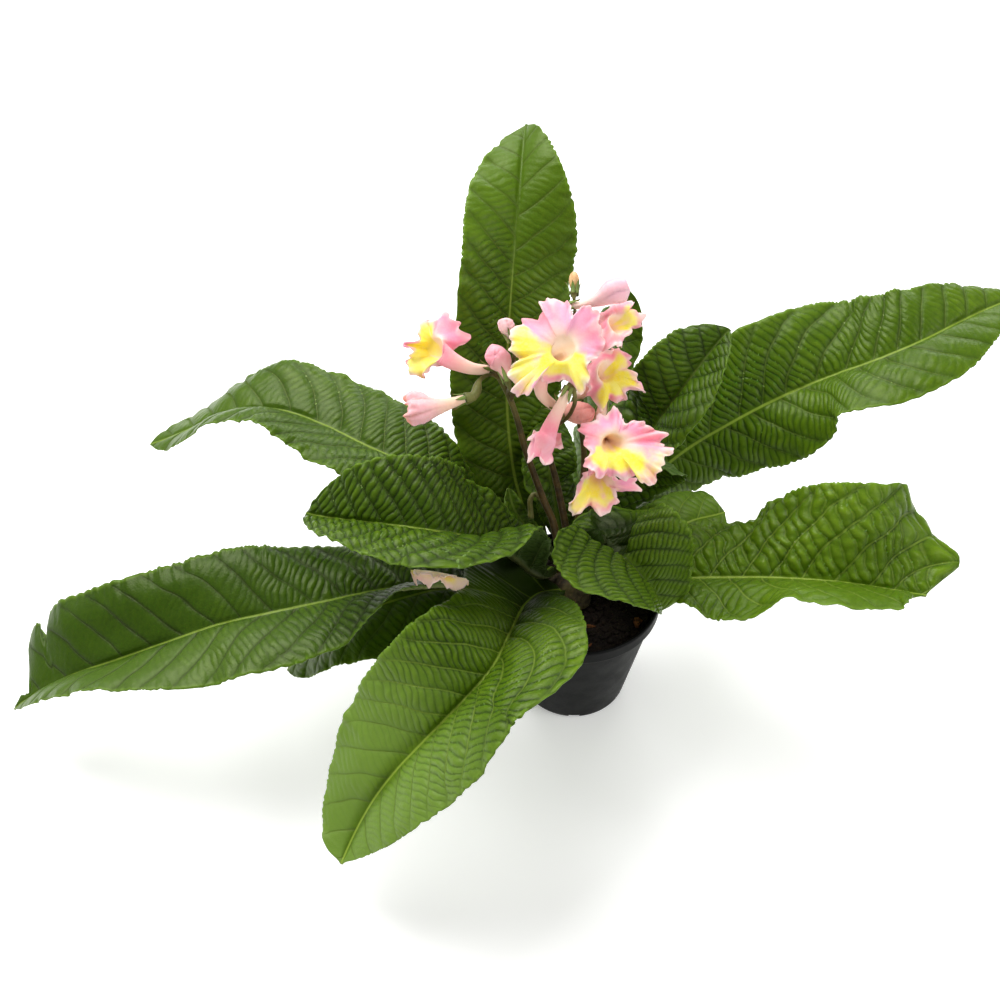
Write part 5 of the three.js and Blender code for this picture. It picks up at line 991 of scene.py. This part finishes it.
    # painted shade in the throat reaches further out on that side
    lean = (name in THROAT_SHADOW_SIDE) * np.cos(np.radians(scr - THROAT_SHADOW_SIDE.get(name, 0.0)))[None, :]
    thr = 1 - smooth(0.62, 1.34, ug - 0.17 * lean * smooth(1.5, 1.0, ug))
    # ruffle height, carried to the material for painted shade in the valleys and painted highlight on the crests
    ruffle_shading = np.clip(0.5 + np.concatenate([np.zeros((nu, C)), np.array(ruffle)]) / 4.4, 0, 1)
    def at(ins):
        return (np.stack([yg, ug, edge, np.full((R, C), ins)], -1).reshape(-1, 4), np.stack([lil + 0 * ug, sal, thr * ins, ruffle_shading], -1).reshape(-1, 4))
    a1, a2 = at(1.0), at(0.0)
    return make_mesh(name + "_petals", V, faces, {"c1": np.concatenate([a1[0], a2[0]]), "c2": np.concatenate([a1[1], a2[1]])},
                     mat=PETAL, replaces=name, slot="petal")

for name in COROLLAS:
    build_corolla(name)

# ------------------------------------------------------------------ buds and the spent flower
def bud_material(name, base, tip, fold, rough=0.6):
    """c1 = (along, crease, lobe, random)."""
    N = Nodes(name)
    u, crease, lobe, rnd = N.attr("c1")
    n1 = N.noise(160, 3, 0.6)
    fine = N.noise(800, 2, 0.6)
    c = N.mix(N.ramp(N.add(u, N.mul(N.math("SUBTRACT", n1, 0.5), 0.35)), 0.15, 0.75), base, tip)
    c = N.mix(N.mul(lobe, 0.8), c, fold)
    # painted shade: the crease channel darkens the colour in the folds
    c = N.mix(N.mul(crease, 0.55), c, tuple(x * 0.62 for x in fold))
    c = N.mix(N.mul(N.ramp(fine, 0.35, 0.7), 0.12), c, lin(255, 238, 230))
    b = N.bump(n1, 0.35, 0.0006)
    b = N.bump(fine, 0.3, 0.0003, b)
    N.set(Base_Color=c, Roughness=rough, Normal=b, Specular_IOR_Level=0.35)
    N.bsdf.inputs["Subsurface Weight"].default_value = 0.25
    N.bsdf.inputs["Subsurface Radius"].default_value = (1.0, 0.7, 0.55)
    N.bsdf.inputs["Subsurface Scale"].default_value = 0.003
    N.bsdf.inputs["Sheen Weight"].default_value = 0.15
    return N.mat

BUD_LOOK = {
    "bud_low_left": (lin(246, 206, 178), lin(246, 182, 190), lin(236, 150, 118)),
    "bud_mid": (lin(250, 196, 186), lin(250, 168, 182), lin(240, 140, 160)),
    "bud_pale": (lin(246, 220, 200), lin(252, 200, 204), lin(246, 184, 190)),
    "bud_top": (lin(246, 222, 206), lin(252, 196, 206), lin(246, 180, 200)),
    "bud_salmon": (lin(246, 178, 160), lin(240, 160, 150), lin(226, 120, 110)),
    "bud_tan": (lin(196, 160, 96), lin(226, 176, 120), lin(206, 140, 96)),
}

def build_bud(name):
    b = BUDS[name]; seed = 500 + list(BUDS).index(name) * 5
    rad = curve(b["rt"], b["r"], True)
    u = 1 - (1 - np.linspace(0, 1, 46)) ** 1.25
    gape = name == "bud_low_left"                 # half open: its crumpled lip turns in
    if gape:
        u = np.concatenate([np.linspace(0, 0.94, 52), [0.955, 0.955, 0.94, 0.91, 0.87, 0.82]])
        R = np.concatenate([curve([0, 0.25, 0.5, 0.72, 0.86, 0.94], [2.6, 3.3, 5.2, 8.8, 9.4, 7.6])(u[:52]), [6.9, 6.1, 5.2, 4.2, 3.1, 1.8]])
    lobed = lambda uu, a: 1 - smooth(0.35, 0.85, uu) * (0.22 * (1 - np.abs(np.cos(2.5 * a + 2.2 * uu + seed)) ** 0.45) + 0.06 * np.cos(2 * a + seed)) * (1 - smooth(0.97, 1, uu) * 0.5) \
        + 0.035 * noise2(uu * 9, np.sin(a) * 2 + 5, seed) + 0.03 * noise2(uu * 22, a * 2.5, seed + 1)
    V, faces, uu, aa, L = tube(b["line"], u, R if gape else rad(u), 96 if gape else 48, lobed)
    ang = aa * 2 * math.pi
    if gape:
        out = unit(np.array(b["line"][-1], float) - np.array(b["line"][-3], float))
        mid = np.array(b["line"][-2], float)
        lip = smooth(0.62, 0.95, uu)[:, None]
        V = V + out * lip * (1.5 * np.cos(2 * ang + 0.7) + 1.0 * np.cos(5 * ang + 2.1) + 0.7 * np.cos(11 * ang))[:, None]
        rim = V - mid; rim = rim - out * (rim @ out)[:, None]
        V = V + rim * lip * (0.10 * np.cos(3 * ang + 1.0) + 0.09 * np.cos(7 * ang + 0.4) + 0.05 * np.cos(13 * ang + 2.0))[:, None]
    wave = np.abs(np.cos(2.5 * ang + 2.2 * uu + seed))
    # the folds between the lobes, painted darker as shade
    crease = smooth(0.35, 0.8, uu) * smooth(0.45, 0.0, wave)
    lobe = smooth(0.60, 1.0, uu) * (0.5 + 0.6 * noise2(ang * 1.2, uu * 4, seed + 2)) + 0.5 * smooth(0.5, 0.9, uu) * smooth(0.85, 1.0, wave) * 0
    c1 = np.stack([uu, crease, lobe, 0.5 + 0.5 * noise2(uu * 12, ang * 2, seed + 3)], -1)
    if gape:
        row = np.concatenate([np.repeat(np.arange(len(u)), 96), [0, len(u) - 1]])
        low = (rim / np.maximum(1e-6, np.linalg.norm(rim, axis=1))[:, None]) @ unit(np.array([0.1, -0.55, -0.83]))
        c1[:, 2] = np.clip(smooth(49, 54, row) * 1.1 + smooth(0.80, 0.92, uu) * smooth(0.1, 0.7, low) + 0.3 * lobe * (row < 48), 0, 1)
        # the turned-in lip is painted dark as the shade inside the opening
        c1[:, 1] = np.clip(crease + smooth(54, 58, row), 0, 1)
    base, tip, fold = BUD_LOOK[name]
    return make_mesh(name + "_petals", V, faces, {"c1": c1}, mat=bud_material("mat_" + name, base, tip, fold), replaces=name, slot="petal")

for name in BUD_LOOK:
    build_bud(name)

def sheet(bd, g, nn, c1):
    """A thin closed sheet: g is its middle (rows, columns, 3), nn the half thickness along its normal."""
    up, dn = g + nn, g - nn
    R, C = g.shape[:2]
    V = np.concatenate([up.reshape(-1, 3), dn.reshape(-1, 3)])
    T = np.arange(R * C).reshape(R, C); Bq = T + R * C
    q1 = np.stack([T[:-1, :-1], T[1:, :-1], T[1:, 1:], T[:-1, 1:]], -1).reshape(-1, 4)
    q2 = np.stack([Bq[:-1, :-1], Bq[:-1, 1:], Bq[1:, 1:], Bq[1:, :-1]], -1).reshape(-1, 4)
    rt = np.concatenate([T[0, :], T[1:, -1], T[-1, -2::-1], T[-2:0:-1, 0]])
    rim = np.stack([rt, np.roll(rt, -1), np.roll(rt + R * C, -1), rt + R * C], -1)
    a = c1.reshape(-1, 4)
    bd.add(V, outward(V, [np.concatenate([q1, q2, rim])]), {"c1": np.concatenate([a, a])})

def build_wilted():
    b = BUDS["wilted_flower"]; seed = 777
    bd = Build(["c1"])
    line = [np.array(p, float) for p in b["line"]]
    f = [curve(np.linspace(0, 1, len(line)), [p[k] for p in line]) for k in range(3)]
    down = np.array([0.0, -0.62, -0.78]); face = np.array([0.0, -0.78, 0.62])
    R, C = 84, 22
    u = np.linspace(0, 1, R); w = np.linspace(0, 1, C)
    for k, (roll, long, start, end) in enumerate(((0.0, 9.0, 0.02, 1.0), (2.5, 6.0, 0.15, 0.9), (-2.3, 4.5, 0.1, 0.95))):
        d = down * math.cos(roll * 0.5) + face * math.sin(roll * 0.5); nf = np.cross(d, (1.0, 0, 0)); nf = nf if nf @ face > 0 else -nf
        uu = start + (end - start) * u
        P = np.stack([g(uu) for g in f], -1) - 3.5 * down + 3.0 * face
        # three lobes with crumpled margins
        width = long * (0.42 + 0.58 * np.abs(np.sin(math.pi * (2.6 * u + 0.15 * k))) ** 0.7) * np.clip(np.minimum(u, 1 - u) / 0.06, 0.12, 1) ** 0.5
        width = width * (1 + 0.16 * noise2(u * 17, 2.0, seed + k))
        g = P[:, None] + d * (w[None, :] * width[:, None])[..., None]
        lift = 2.6 * w[None, :] ** 1.2 * noise2(u[:, None] * 7, w[None, :] * 0.8 + k, seed + 4 + k) + 1.1 * w[None, :] ** 2 * noise2(u[:, None] * 19, w[None, :] * 1.5, seed + 8 + k)
        along = 1.6 * w[None, :] ** 2 * noise2(u[:, None] * 9, 4.0 + k, seed + 12 + k)
        g = g + nf * (lift + 0.5 * k)[..., None] + np.array([1.0, 0, 0]) * along[..., None]
        nrm = grid_normals(g)
        yel = smooth(0.15, 0.6, noise2(u[:, None] * 4.2 + 2, w[None, :] * 1.2, seed + 15 + k)) * smooth(0.95, 0.6, w[None, :])
        edge = 1 - 0.9 * w[None, :] + 0 * u[:, None]
        c1 = np.stack([1 - edge, 0.5 * smooth(0.2, 0.7, -noise2(u[:, None] * 12, w[None, :] * 2, seed + 18)) + 0 * edge, yel, 0.5 + 0 * edge], -1)
        sheet(bd, g, nrm * 0.20, c1)
    V, faces, uu, aa, L = tube([tuple(line[0]), tuple(line[1]), tuple(0.5 * (line[1] + line[2]))], np.linspace(0, 1, 16), np.linspace(1.5, 2.2, 16), 18,
                               lambda a, q: 1 + 0.12 * noise2(a * 6, np.cos(q) * 2, seed))
    bd.add(V, faces, {"c1": np.stack([0.3 * uu, 0.2 + 0 * uu, 0 * uu, 0.5 + 0 * uu], -1)})
    mat = bud_material("mat_wilted", lin(255, 222, 184), lin(255, 214, 204), lin(246, 222, 90), 0.7)
    return bd.done("wilted_petals", mat=mat, replaces="wilted_flower", slot="wilted")
build_wilted()

# ------------------------------------------------------------------ stalks and calyces
def stalk_material():
    """c1 = (along, green, around, sepal)."""
    N = Nodes("mat_stalk")
    u, green, around, sepal = N.attr("c1")
    n1 = N.noise(120, 3, 0.6)
    fine = N.noise(900, 2, 0.6)
    brown = N.mix(N.ramp(n1, 0.3, 0.7), lin(54, 38, 10), lin(88, 68, 22))
    olive = N.mix(N.ramp(n1, 0.3, 0.7), lin(88, 92, 38), lin(118, 120, 58))
    c = N.mix(green, brown, olive)
    sep = N.mix(N.ramp(n1, 0.35, 0.7), lin(92, 118, 42), lin(126, 146, 70))
    sep = N.mix(N.ramp(u, 0.75, 1.0), sep, lin(120, 92, 52))
    c = N.mix(sepal, c, sep)
    c = N.mix(N.mul(N.ramp(fine, 0.55, 0.8), 0.30), c, lin(170, 150, 120))
    b = N.bump(fine, 0.5, 0.0004)
    N.set(Base_Color=c, Roughness=0.55, Normal=b, Specular_IOR_Level=0.4)
    N.bsdf.inputs["Sheen Weight"].default_value = 0.15
    N.bsdf.inputs["Sheen Roughness"].default_value = 0.35
    N.bsdf.inputs["Sheen Tint"].default_value = (0.9, 0.8, 0.7, 1)
    return N.mat
STALK = stalk_material()

def sepals(bd, tip, axis, r0, seed, size=1.0, count=5):
    """Narrow pointed sepals round the foot of a flower."""
    axis = unit(np.asarray(axis, float))
    n = np.cross(axis, (0.3, 0.2, 1.0)); n = unit(n); m = np.cross(axis, n)
    rs = np.random.RandomState(seed)
    for i in range(count):
        a = 2 * math.pi * (i + 0.3 * rs.rand()) / count
        rad = n * math.cos(a) + m * math.sin(a); tan = np.cross(axis, rad)
        L = size * (6.0 + 2.2 * rs.rand()); wid = size * 1.05; splay = 0.10 + 0.30 * rs.rand(); curl = 0.10 + 0.35 * rs.rand()
        S = np.linspace(0, 1, 12); X = np.linspace(-1, 1, 7)
        prof = (np.sin(math.pi * np.clip(0.25 + 0.75 * S, 0, 1)) ** 0.8) * (1 - 0.15 * S)
        base = tip - axis * 1.8
        cen = base[None] + axis[None] * (S * L)[:, None] + rad[None] * (r0 + 0.15 + splay * L * S ** 1.6 * 0.5 + curl * L * S ** 4 * 0.35)[:, None]
        g = cen[:, None] + tan[None, None] * (prof[:, None] * wid * X[None])[..., None] - rad[None, None] * (0.25 * (X[None] ** 2) * prof[:, None])[..., None]
        nn = rad[None, None] * 0.22 * (1 - 0.6 * np.abs(X))[None, :, None]
        up, dn = g + nn, g - nn
        R, C = g.shape[:2]
        V = np.concatenate([up.reshape(-1, 3), dn.reshape(-1, 3)])
        T = np.arange(R * C).reshape(R, C); Bq = T + R * C
        q1 = np.stack([T[:-1, :-1], T[1:, :-1], T[1:, 1:], T[:-1, 1:]], -1).reshape(-1, 4)
        q2 = np.stack([Bq[:-1, :-1], Bq[:-1, 1:], Bq[1:, 1:], Bq[1:, :-1]], -1).reshape(-1, 4)
        rt = np.concatenate([T[0, :], T[1:, -1], T[-1, -2::-1], T[-2:0:-1, 0]])
        rb = rt + R * C
        rim = np.stack([rt, np.roll(rt, -1), np.roll(rb, -1), rb], -1)
        faces = outward(V, [np.concatenate([q1, q2, rim])])
        uu = np.tile(np.repeat(S, C), 2)
        bd.add(V, faces, {"c1": np.stack([uu, np.ones_like(uu), np.full_like(uu, 0.5), np.ones_like(uu)], -1)})

def build_stalk(name):
    bd = Build(["c1"])
    seed = 900 + list(STALKS).index(name) * 31
    for bi, br in enumerate(STALKS[name]):
        line = [np.array(p, float) for p in br["line"]]
        P = np.array(line)
        L = np.linalg.norm(np.diff(P, axis=0), axis=1).sum()
        n = max(14, int(L / 1.6))
        u = np.linspace(0, 1, n)
        if bi:                                     # a side stalk starts inside its parent
            u = np.linspace(0.0, 1, n)
        r = (br["r"][0] + (br["r"][1] - br["r"][0]) * u) * (1.16 if bi == 0 else 1.0)
        stout = name == "stalk_left" and np.linalg.norm(P[-1] - np.array(BUDS["bud_low_left"]["line"][0])) < 8
        if stout:                                  # the low bud sits in a swollen old calyx
            r = r + 1.5 * smooth(17.0, 9.0, (1 - u) * L) * (1 - 0.25 * smooth(3.0, 0.0, (1 - u) * L))
        if br["cal"]:
            r = r + np.clip(1 - (1 - u) * L / 5.0, 0, 1) ** 1.6 * (2.5 - br["r"][1])
        bump = lambda uu, a: 1 + 0.05 * noise2(uu * L / 6, np.cos(a) * 1.5, seed) + 0.03 * np.cos(3 * a)
        V, faces, uu, aa, _ = tube(line, u, r, 14, bump)
        start = 1 if bi else 0
        green = smooth(0.55, 0.95, uu) * (0.75 if bi else 0.6) + (0.25 if bi else 0)
        if not br["cal"]:
            green = 0.6 + 0.3 * smooth(0.4, 1, uu)
        if stout:
            green = 0.35 + 0.65 * smooth(0.2, 0.6, uu)
        bd.add(V, faces, {"c1": np.stack([uu, np.clip(green, 0, 1) + 0 * uu, aa, 0 * uu], -1)})
        if br["cal"]:
            tip = P[-1]; ax = P[-1] - P[-2]
            sepals(bd, tip, ax, 2.75, seed + bi, 1.2)
    return bd.done(name + "_stems", mat=STALK, replaces=name, slot="stalk")

for name in STALKS:
    build_stalk(name)

# ------------------------------------------------------------------ crown
def build_crown():
    N = Nodes("mat_crown")
    n1, n2 = N.noise(90, 4, 0.6), N.noise(420, 3, 0.6)
    c = N.mix(N.ramp(n1, 0.3, 0.7), lin(44, 34, 16), lin(86, 78, 34))
    c = N.mix(N.mul(N.ramp(n2, 0.5, 0.8), 0.5), c, lin(122, 96, 60))
    b = N.bump(n1, 0.7, 0.0015); b = N.bump(n2, 0.5, 0.0006, b)
    N.set(Base_Color=c, Roughness=0.8, Normal=b)
    prof = np.array([[0.02, 77.4], [10, 77.3], [15, 77.6], [16, 80], [15.2, 84], [12.6, 88.5], [9.0, 92.5], [5.0, 94.6], [0.02, 95.2]])
    k = np.linspace(0, 1, len(prof)); f = curve(k, prof[:, 0]), curve(k, prof[:, 1])
    u = np.linspace(0, 1, 60); a = np.arange(96) / 96 * 2 * math.pi
    r, z = np.maximum(f[0](u), 0.02)[:, None], f[1](u)[:, None]
    w = smooth(0, 6, r)
    lump = 1 + w * (0.10 * noise2(np.cos(a) * 3 + 5, np.sin(a) * 3 + z / 6, 61) + 0.05 * noise2(a * 5, z / 2.2, 62))
    G = np.stack([-5 + r * lump * np.cos(a), 4 + r * lump * np.sin(a), z + w * 0.8 * noise2(a * 3, r / 3, 63) * smooth(78, 82, z)], -1)
    R, C = G.shape[:2]
    V = np.concatenate([G.reshape(-1, 3), G[0].mean(0)[None], G[-1].mean(0)[None]])
    I = np.arange(R * C).reshape(R, C); J = np.roll(I, -1, axis=1)
    q = np.stack([I[:-1], J[:-1], J[1:], I[1:]], -1).reshape(-1, 4)
    t0 = np.stack([np.full(C, R * C), J[0], I[0]], -1); t1 = np.stack([np.full(C, R * C + 1), I[-1], J[-1]], -1)
    return make_mesh("crown_stem", V, outward(V, [q, t0, t1]), mat=N.mat, replaces="crown", slot="crown")
build_crown()

# ------------------------------------------------------------------ soil
def build_soil():
    N = Nodes("mat_soil")
    n1, n2, n3 = N.noise(70, 3, 0.6), N.noise(350, 4, 0.65), N.voronoi(260)
    c = N.mix(N.ramp(n1, 0.3, 0.7), lin(16, 10, 8), lin(34, 24, 18))
    c = N.mix(N.mul(N.ramp(n2, 0.55, 0.75), 0.6), c, lin(66, 46, 32))
    chip, = (N.attr("c1")[0],)
    c = N.mix(chip, c, N.mix(N.ramp(n2, 0.35, 0.65), lin(70, 38, 18), lin(120, 74, 38)))
    b = N.bump(n2, 0.8, 0.0015); b = N.bump(n3, 0.6, 0.001, b)
    N.set(Base_Color=c, Roughness=0.93, Normal=b, Specular_IOR_Level=0.25)
    bd = Build(["c1"])
    rr = np.concatenate([np.linspace(0.05, 46.2, 78)]); a = np.arange(240) / 240 * 2 * math.pi
    X, Yc = rr[:, None] * np.cos(a), rr[:, None] * np.sin(a)
    Z = 76.4 - 1.2 * smooth(36, 46, rr)[:, None] + 0.9 * noise2(X / 6 + 9, Yc / 6 + 9, 71) + 0.8 * noise2(X / 2.4, Yc / 2.4, 72) + 0.45 * noise2(X / 1.1, Yc / 1.1, 73)
    top = np.stack([X, Yc, Z], -1)
    ring2 = np.stack([46.2 * np.cos(a), 46.2 * np.sin(a), np.full_like(a, 73.0)], -1)[None]
    ring3 = np.stack([40 * np.cos(a), 40 * np.sin(a), np.full_like(a, 40.0)], -1)[None]
    ring4 = np.stack([30 * np.cos(a), 30 * np.sin(a), np.full_like(a, 2.6)], -1)[None]
    G = np.concatenate([top, ring2, ring3, ring4])
    R, C = G.shape[:2]
    V = np.concatenate([G.reshape(-1, 3), [[0, 0, top[0, :, 2].mean()], [0, 0, 2.6]]])
    I = np.arange(R * C).reshape(R, C); J = np.roll(I, -1, axis=1)
    q = np.stack([I[:-1], J[:-1], J[1:], I[1:]], -1).reshape(-1, 4)
    t0 = np.stack([np.full(C, R * C), J[0], I[0]], -1); t1 = np.stack([np.full(C, R * C + 1), I[-1], J[-1]], -1)
    bd.add(V, outward(V, [q, t0, t1]), {"c1": np.zeros((len(V), 4))})
    # crumbs of peat and a few bits of bark
    rs = np.random.RandomState(5)
    ico = bmesh.new(); bmesh.ops.create_icosphere(ico, subdivisions=2, radius=1.0)
    iv = np.array([v.co[:] for v in ico.verts]); itri = np.array([[v.index for v in f.verts] for f in ico.faces]); ico.free()
    for i in range(330):
        rad = 45 * math.sqrt(rs.rand()); an = rs.rand() * 2 * math.pi
        x, y = rad * math.cos(an), rad * math.sin(an)
        chip = i < 9
        s = (1.0 + 1.3 * rs.rand()) if not chip else (1.4 + 1.2 * rs.rand())
        if i == 0: x, y, s = 36.5, -19.0, 2.6
        if i == 1: x, y, s = 38.5, -16.5, 1.8
        sc = np.array([s * (0.8 + 0.9 * rs.rand()), s * (0.6 + 0.5 * rs.rand()), s * (0.35 + 0.35 * rs.rand())])
        pts = iv * (1 + 0.30 * noise2(iv[:, 0] * 2 + i, iv[:, 1] * 2 + iv[:, 2] * 3, 81)[:, None]) * sc
        q1, q2 = rs.rand() * 2 * math.pi, (rs.rand() - 0.5) * 0.8
        R1 = np.array([[math.cos(q1), -math.sin(q1), 0], [math.sin(q1), math.cos(q1), 0], [0, 0, 1]])
        R2 = np.array([[1, 0, 0], [0, math.cos(q2), -math.sin(q2)], [0, math.sin(q2), math.cos(q2)]])
        pts = pts @ R2.T @ R1.T + np.array([x, y, 76.6 - 1.2 * float(smooth(36, 46, rad)) + 0.2 * s])
        bd.add(pts, outward(pts, [itri]), {"c1": np.tile([1.0 if chip else 0.0, 0, 0, 0], (len(pts), 1))})
    return bd.done("soil_peat", mat=N.mat, replaces="soil", slot="soil")
build_soil()

# ------------------------------------------------------------------ pot
def build_pot():
    N = Nodes("mat_pot")
    n1, n2 = N.noise(30, 3, 0.5), N.noise(1400, 2, 0.5)
    dust = N.noise(55, 4, 0.65)
    c = N.mix(N.ramp(n1, 0.35, 0.7), lin(9, 10, 10), lin(14, 15, 15))
    c = N.mix(N.mul(N.ramp(dust, 0.6, 0.85), 0.2), c, lin(30, 30, 29))
    b = N.bump(n2, 0.25, 0.0002)
    N.set(Base_Color=c, Roughness=N.ramp(dust, 0.3, 0.8, 0.42, 0.58), Normal=b, Specular_IOR_Level=0.25, IOR=1.3)
    HT, RIM, D = 86.4, 52.5, 9.5
    rw = lambda z: 34.2 + (49.3 - 34.2) * (z - 5) / (HT - D - 5)
    yb = HT - D
    prof = [(0.02, 0), (10, 0), (20, 0), (28.4, 0), (29.4, 0.02), (30.9, 0.35), (32.2, 1.2), (33.1, 2.2), (33.75, 3.4), (34.2, 5)]
    prof += [(rw(z), z) for z in np.linspace(6, yb - 1.0, 26)]
    prof += [(rw(yb - 0.4) + 0.05, yb - 0.5), (rw(yb) + 0.5, yb - 0.1), (RIM - 1.4, yb), (RIM - 0.9, yb + 0.1), (RIM - 0.5, yb + 0.5), (RIM - 0.38, yb + 1.0)]
    prof += [(RIM - 0.36 + 0.3 * k, yb + 1.2 + (D - 3.2) * k) for k in np.linspace(0, 1, 6)]
    prof += [(RIM - 0.02, HT - 1.5), (RIM - 0.12, HT - 0.9), (RIM - 0.45, HT - 0.35), (RIM - 0.9, HT - 0.06), (RIM - 1.3, HT), (RIM - 1.7, HT - 0.12), (RIM - 2.1, HT - 0.5), (RIM - 2.35, HT - 1.2), (RIM - 2.42, HT - 2.0)]
    prof += [(rw(yb) - 1.55, yb - 1.2), (rw(yb) - 1.6, yb - 2.2)] + [(rw(z) - 1.6, z) for z in np.linspace(yb - 6, 8, 10)]
    prof += [(rw(6) - 1.6, 6), (31.6, 3.6), (30.2, 2.4), (28.5, 2.0), (15, 2.0), (0.02, 2.0)]
    prof = np.array(prof, float)
    C = 192; a = np.arange(C) / C * 2 * math.pi
    G = np.stack([prof[:, 0][:, None] * np.cos(a), prof[:, 0][:, None] * np.sin(a), prof[:, 1][:, None] + 0 * a], -1)
    R = len(prof)
    V = np.concatenate([G.reshape(-1, 3), [[0, 0, 0], [0, 0, 2.0]]])
    I = np.arange(R * C).reshape(R, C); J = np.roll(I, -1, axis=1)
    q = np.stack([I[:-1], J[:-1], J[1:], I[1:]], -1).reshape(-1, 4)
    t0 = np.stack([np.full(C, R * C), J[0], I[0]], -1); t1 = np.stack([np.full(C, R * C + 1), I[-1], J[-1]], -1)
    ob = make_mesh("pot_shell", V, outward(V, [q, t0, t1]), mat=N.mat, replaces="pot", slot="pot")
    # drain slots through the foot's edge
    bm = bmesh.new()
    for i in range(6):
        an = (i + 0.5) * math.pi / 3
        r = bmesh.ops.create_cube(bm, size=1.0)
        for v in r["verts"]:
            x, y, z = v.co.x * 9 + 32.5, v.co.y * 7, v.co.z * 6.5 + 1.2
            v.co = Vector((x * math.cos(an) - y * math.sin(an), x * math.sin(an) + y * math.cos(an), z)) * 0.001
    cm = bpy.data.meshes.new("cut"); bm.to_mesh(cm); bm.free()
    cut = bpy.data.objects.new("cut", cm); bpy.context.scene.collection.objects.link(cut)
    md = ob.modifiers.new("slots", "BOOLEAN"); md.operation = "DIFFERENCE"; md.solver = "EXACT"; md.object = cut
    dg = bpy.context.evaluated_depsgraph_get()
    me = bpy.data.meshes.new_from_object(ob.evaluated_get(dg))
    ob.modifiers.clear(); old = ob.data; ob.data = me
    bpy.data.meshes.remove(old); bpy.data.objects.remove(cut); bpy.data.meshes.remove(cm)
    for p in me.polygons: p.use_smooth = True
    me.set_sharp_from_angle(angle=math.radians(38)) if hasattr(me, "set_sharp_from_angle") else None
    return ob
build_pot()

# ------------------------------------------------------------------ floor, light, camera
def plain(name, col, rough=0.9, emit=0.0):
    N = Nodes(name)
    n = N.noise(3.0, 2, 0.5)
    N.set(Base_Color=N.mix(N.ramp(n, 0.3, 0.7), col, tuple(min(1, c * 1.01) for c in col)), Roughness=rough, Specular_IOR_Level=0.1)
    if emit:
        N.bsdf.inputs["Emission Color"].default_value = (1, 1, 1, 1)
        N.bsdf.inputs["Emission Strength"].default_value = emit
    return N.mat

fm = bpy.data.meshes.new("floor")
fm.from_pydata([(-24, -24, 0), (24, -24, 0), (24, 24, 0), (-24, 24, 0)], [], [(0, 1, 2, 3)])
floor = bpy.data.objects.new("floor", fm); bpy.context.scene.collection.objects.link(floor)
fm.materials.append(plain("mat_floor", (0.86, 0.86, 0.86), 0.95, 0.34))

def area(name, loc, target, size, power, color=(1, 1, 1)):
    l = bpy.data.lights.new(name, "AREA"); l.shape = "RECTANGLE"; l.size, l.size_y = size
    l.energy = power; l.color = color
    o = bpy.data.objects.new(name, l); bpy.context.scene.collection.objects.link(o)
    o.location = loc
    o.rotation_euler = (Vector(target) - Vector(loc)).to_track_quat("-Z", "Y").to_euler()
    return o

area("key", (-0.9, 0.9, 2.2), (0, 0, 0.15), (1.9, 1.9), 80)
area("fill", (1.6, -0.8, 1.6), (0, 0, 0.15), (1.4, 1.4), 18)
area("back", (0.5, 2.2, 1.3), (0, 0, 0.2), (1.8, 0.9), 20)

world = bpy.data.worlds.new("world"); bpy.context.scene.world = world
world.use_nodes = True
world.node_tree.nodes["Background"].inputs[0].default_value = (1.0, 0.985, 0.95, 1)
world.node_tree.nodes["Background"].inputs[1].default_value = 0.40

cam = bpy.data.cameras.new("camera"); cam.lens = 54.0; cam.sensor_width = 36.0
cam.clip_start, cam.clip_end = 0.05, 80
co = bpy.data.objects.new("camera", cam); bpy.context.scene.collection.objects.link(co)
co.location = (-0.04776, -0.6342, 0.7744); co.rotation_euler = (math.radians(46.1), 0, 0)
bpy.context.scene.camera = co
vs = bpy.context.scene.view_settings
vs.view_transform = "Standard"; vs.look = "None"; vs.exposure = 0.0; vs.gamma = 1.0
